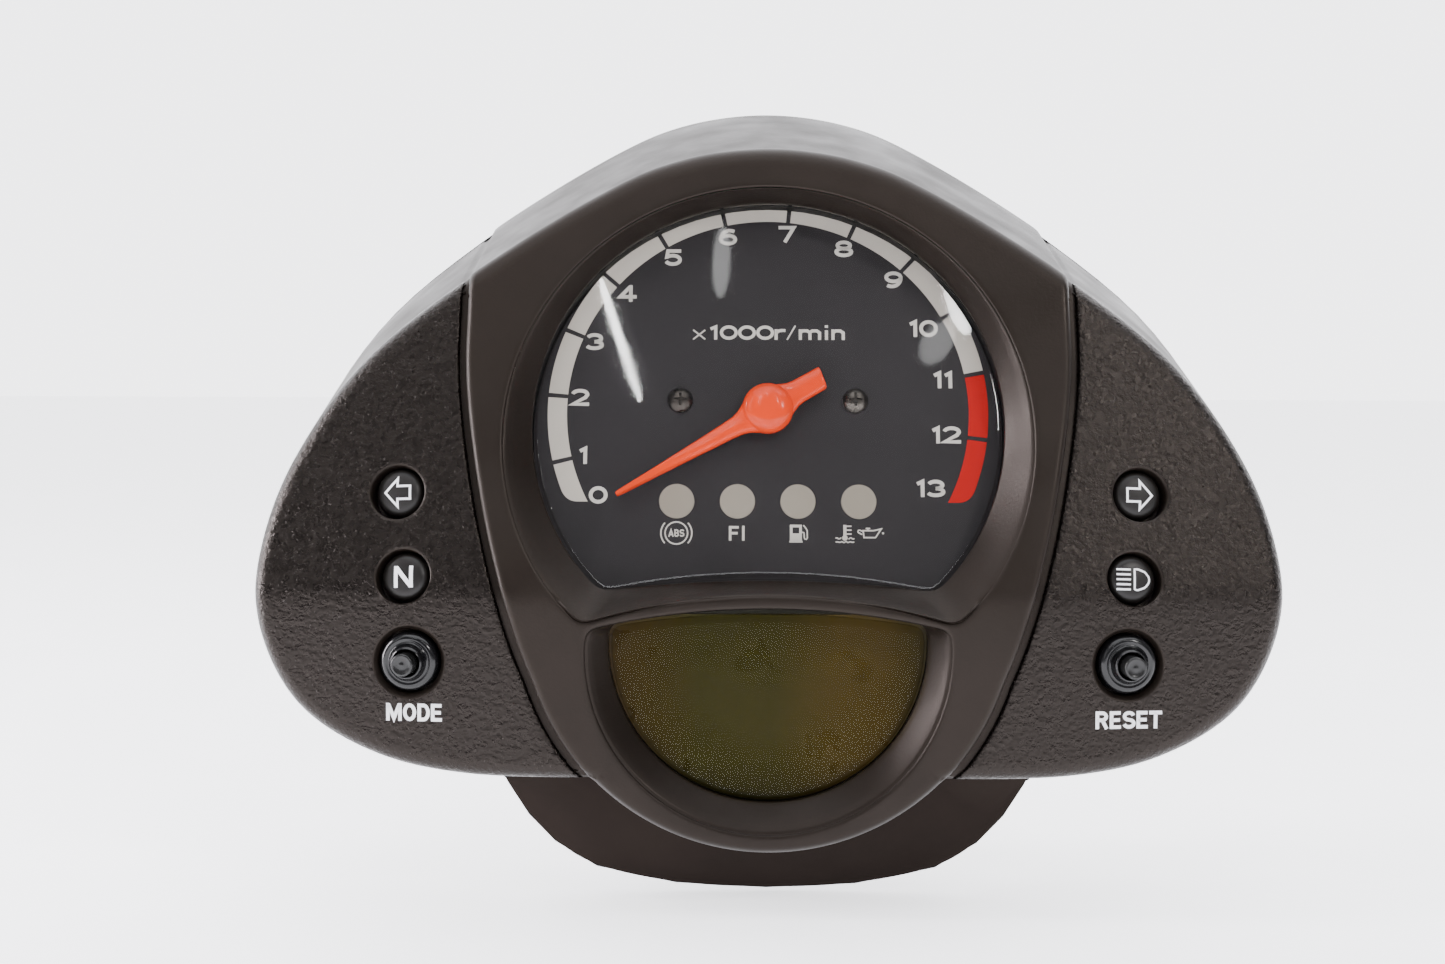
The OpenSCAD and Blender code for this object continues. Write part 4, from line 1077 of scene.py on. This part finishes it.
# the tachometer's pane is a shallow ball about its centre, the display's is flat
BALL, APEX = 520.0, 4.5


def ball(x, z):
    """Depth of the tachometer's pane."""
    return APEX + (x ** 2 + (z - TACH_PANE[0]) ** 2) / (2 * BALL)


def flat_pane(x, z):
    """Depth of the display's pane, the same at every x and z."""
    return 4.8 + 0 * x


pane("tach_glass", d_window(*TACH_PANE, up=1), ball, 0.8, LENS, face_frame(), "tach_lens")
pane("display_glass", d_window(*LCD_PANE, up=-1), flat_pane, 1.6, LCD_LENS, Matrix.Identity(4), "lcd_lens")

# ---------------- lower cover
# right half of the tray's outline on the parting plane, rise of its rim, and depth where it leaves the collar
CHIN = [(62, -33.4), (60.4, -36.4), (55.3, -43.8), (49, -50), (39.3, -55.6), (20.8, -59.3), (0, -60.3)]
CHIN_SLOPE, CHIN_Y = math.tan(math.radians(30)), 8.0
# clearance under the front cover, bulge of the slope down and forward, and turn of the rim
CHIN_GAP, CHIN_BULGE, CHIN_TURN = 0.35, (0, -2.5, -1.5), 0.3


def chin():
    """Tray under the collar: one gently rounded slope from the collar back to the parting plane."""
    line = np.array(CHIN + [(-x, s) for x, s in CHIN[-2::-1]])
    line = resample(spline(line, 10), 1.6, closed=False)
    for _ in range(8):
        line[1:-1] = (line[:-2] + 2 * line[1:-1] + line[2:]) / 4
    y = RIM_D * CT + line[:, 1] * ST
    flat = np.stack([line[:, 0], line[:, 1] * CT - RIM_D * ST], 1)
    t = np.gradient(flat, axis=0)
    t /= np.linalg.norm(t, axis=1)[:, None]
    inward = np.stack([t[:, 1], -t[:, 0]], 1)
    if inward[len(inward) // 2, 1] < 0:
        inward = -inward
    centre = np.array([0, RING_Z])
    out = flat - centre
    ceiling = -WING_DROP - CHIN_GAP
    share = (RING_R + 0.5) / np.linalg.norm(out, axis=1)
    share = np.maximum(share, (ceiling - RING_Z) / np.minimum(out[:, 1], -1))
    inner = centre + out * np.minimum(share, 0.97)[:, None]
    inner[:, 1] = np.minimum(inner[:, 1], ceiling)
    start, end = lifted(inner, CHIN_Y), lifted(flat, y)
    knee = (start + end) / 2 + CHIN_BULGE
    rings = [start + (0, 6, 0)]
    for k in np.linspace(0, 0.985, 15):
        rings.append((1 - k) ** 2 * start + 2 * k * (1 - k) * knee + k ** 2 * end)

    def rim(depth_y, inset):
        p = flat + inward * inset
        p[:, 1] = np.minimum(p[:, 1] + (y - depth_y) * CHIN_SLOPE, ceiling)
        return lifted(p, depth_y)

    rings += [rim(y, CHIN_TURN), rim(y, WALL), rim(y - 5, WALL)]
    return strips(rings, closed=False)


tray = new_mesh("lower_tray", *chin(), [CHIN_MAT], sharp=50)
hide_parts("lower_cover")
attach(tray, "housing")

# ---------------- back
# a grid of ribs stands on the tub's back, whose depth this is; RIB_GAP keeps them just clear of it
TUB_D, RIB_GAP = 62.0, 0.02
RIB_H, RIB_W = 1.2, 1.2
RIB_X, RIB_S = np.arange(-45, 46, 18), np.linspace(24, 61.5, 4)
lines = [((x, RIB_S[0]), (x, RIB_S[-1])) for x in RIB_X] + [((RIB_X[0], s), (RIB_X[-1], s)) for s in RIB_S]
rib_v, rib_f = join([thicken(*sharp_stroke(line, RIB_W, False), RIB_H) for line in lines])
ribs = new_mesh("rear_ribs", moved(rib_v, face_frame(0, TUB_D + RIB_H + RIB_GAP)), rib_f, [REAR], sharp=50)
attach(ribs, "housing")
# broken edges, in metres: wider on the big mouldings than on the small parts
for names, width in ((("rear_cover", *MOUNT_CUPS), 0.0004),
                     (("connector_body", "breather", *CASE_SCREWS, *COLLARS), 0.0002)):
    for name in names:
        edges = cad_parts[name].modifiers.new("edges", "BEVEL")
        edges.width = width
        edges.segments = 2
        edges.limit_method = "ANGLE"
        edges.angle_limit = math.radians(40)

# ---------------- camera, lights, floor
def placed(right, up, back, at):
    """4x4 with the given axes and place."""
    return Matrix((
        (right.x, up.x, back.x, at.x), (right.y, up.y, back.y, at.y), (right.z, up.z, back.z, at.z),
        (0, 0, 0, 1)))


# camera: turn to the left, tilt down and roll, its place, and sensor and lens in millimetres
YAW, ELEV, ROLL = math.radians(0.47), math.radians(3.0), math.radians(0.18)
CAM_AT = Vector(row((-6.35, -454.66, 48.83)))
SENSOR, FOCAL = 36, 52.31834
ahead = Vector((-math.sin(YAW) * math.cos(ELEV), math.cos(YAW) * math.cos(ELEV), -math.sin(ELEV)))
right = ahead.cross(Vector((0, 0, 1))).normalized()
up = right.cross(ahead)
right, up = right * math.cos(ROLL) + up * math.sin(ROLL), up * math.cos(ROLL) - right * math.sin(ROLL)
cam = bpy.data.cameras.new("camera")
cam.sensor_width = SENSOR
cam.lens = FOCAL
cam.clip_end = 50
cam_ob = bpy.data.objects.new("camera", cam)
cam_ob.matrix_world = placed(right, up, -ahead, CAM_AT)
bpy.context.scene.collection.objects.link(cam_ob)
bpy.context.scene.camera = cam_ob


def area(name, at, aim, size, power, colour=(1, 1, 1), shape="RECTANGLE"):
    """An area light at a place in metres, aimed at another."""
    light = bpy.data.lights.new(name, "AREA")
    light.shape = shape
    light.size, light.size_y = size
    light.energy = power
    light.color = colour
    ob = bpy.data.objects.new(name, light)
    ob.location = at
    ob.rotation_euler = (Vector(aim) - Vector(at)).to_track_quat("-Z", "Y").to_euler()
    bpy.context.scene.collection.objects.link(ob)
    return ob


GLASS_MID = Vector(row((0, 14, 41)))


def seen_from_glass(azimuth, elevation, distance=3.0):
    """A point in front of the tachometer glass; azimuth is to the rider's right of straight ahead."""
    az, el = math.radians(azimuth), math.radians(elevation)
    way = Vector((math.sin(az) * math.cos(el), -math.cos(az) * math.cos(el), math.sin(el)))
    return GLASS_MID + distance * way


def strip_light(name, start, end, width, power):
    """A thin light between two directions from the glass, each (azimuth, elevation)."""
    a, b = seen_from_glass(*start), seen_from_glass(*end)
    ob = area(name, (a + b) / 2, GLASS_MID, (width, (b - a).length), power, shape="ELLIPSE")
    ahead = (GLASS_MID - (a + b) / 2).normalized()
    along = (b - a - (b - a).dot(ahead) * ahead).normalized()
    ob.matrix_world = placed(along.cross(-ahead), along, -ahead, ob.location)


# room light: a soft ceiling, a pale wall and a tube on the left, and a window high on the right
AIM = (0, 0, 0.08)
area("overhead", (0.1, -0.25, 1.2), AIM, (1.6, 0.9), 15, (0.94, 0.96, 1.0))
area("left_wall", (-1.1, -0.12, 0.34), AIM, (0.18, 0.7), 24, (1.0, 0.96, 1.0))
area("left_tube", (-0.8, -0.7, 0.65), AIM, (0.05, 1.0), 2, (1.0, 0.99, 0.98))
area("right_window", seen_from_glass(38, 30, 2.0), GLASS_MID, (0.30, 0.30), 14, (1.0, 0.98, 0.96), "ELLIPSE")
# thin lights that the tachometer's glass mirrors as streaks and soft patches
strip_light("streak", (-17, 42.5), (-11, 32), 0.03, 4.2)
strip_light("glow_left", (-19, 44), (-17, 48), 0.16, 2.2)
strip_light("streak_faint", (-4, 47), (-4, 41), 0.07, 0.4)
strip_light("glow_right", (20.5, 43), (20.5, 37), 0.11, 4.5)
strip_light("glow_right_tail", (19, 38), (16, 35), 0.12, 0.35)
strip_light("glow_top", (-3, 50), (-2, 55), 0.12, 2.5)
BACKDROP = (0.965, 0.965, 1.0)


def room():
    """Even pale surroundings ahead of the cluster, dark behind the rider."""
    world = bpy.data.worlds.new("world")
    world.use_nodes = True
    back = world.node_tree.nodes["Background"]
    back.inputs["Strength"].default_value = 4.2
    shade = ramp(world, generated(world).outputs["Y"], [(0.0, (0.075, 0.075, 0.08)), (0.3, BACKDROP)])
    link(world, shade, back.inputs["Color"])
    bpy.context.scene.world = world


room()

# pale floor just below the cluster, lit from within so that it runs into the surroundings
FLOOR_HALF = 9
floor_z = size_at_load[0][2] - 0.0005
floor_me = bpy.data.meshes.new("floor")
corners = [(x * FLOOR_HALF, y * FLOOR_HALF, floor_z) for x, y in ((-1, -1), (1, -1), (1, 1), (-1, 1))]
floor_me.from_pydata(corners, [], [(0, 1, 2, 3)])
floor = bpy.data.objects.new("floor", floor_me)
bpy.context.scene.collection.objects.link(floor)
FLOOR = plastic("floor_pale", (0.86, 0.86, 0.88), (0.90, 0.90, 0.92), 0.6, 60, 0.0001)
surface(FLOOR, "Emission Color").default_value = (*BACKDROP, 1)
surface(FLOOR, "Emission Strength").default_value = 1.7
floor_me.materials.append(FLOOR)
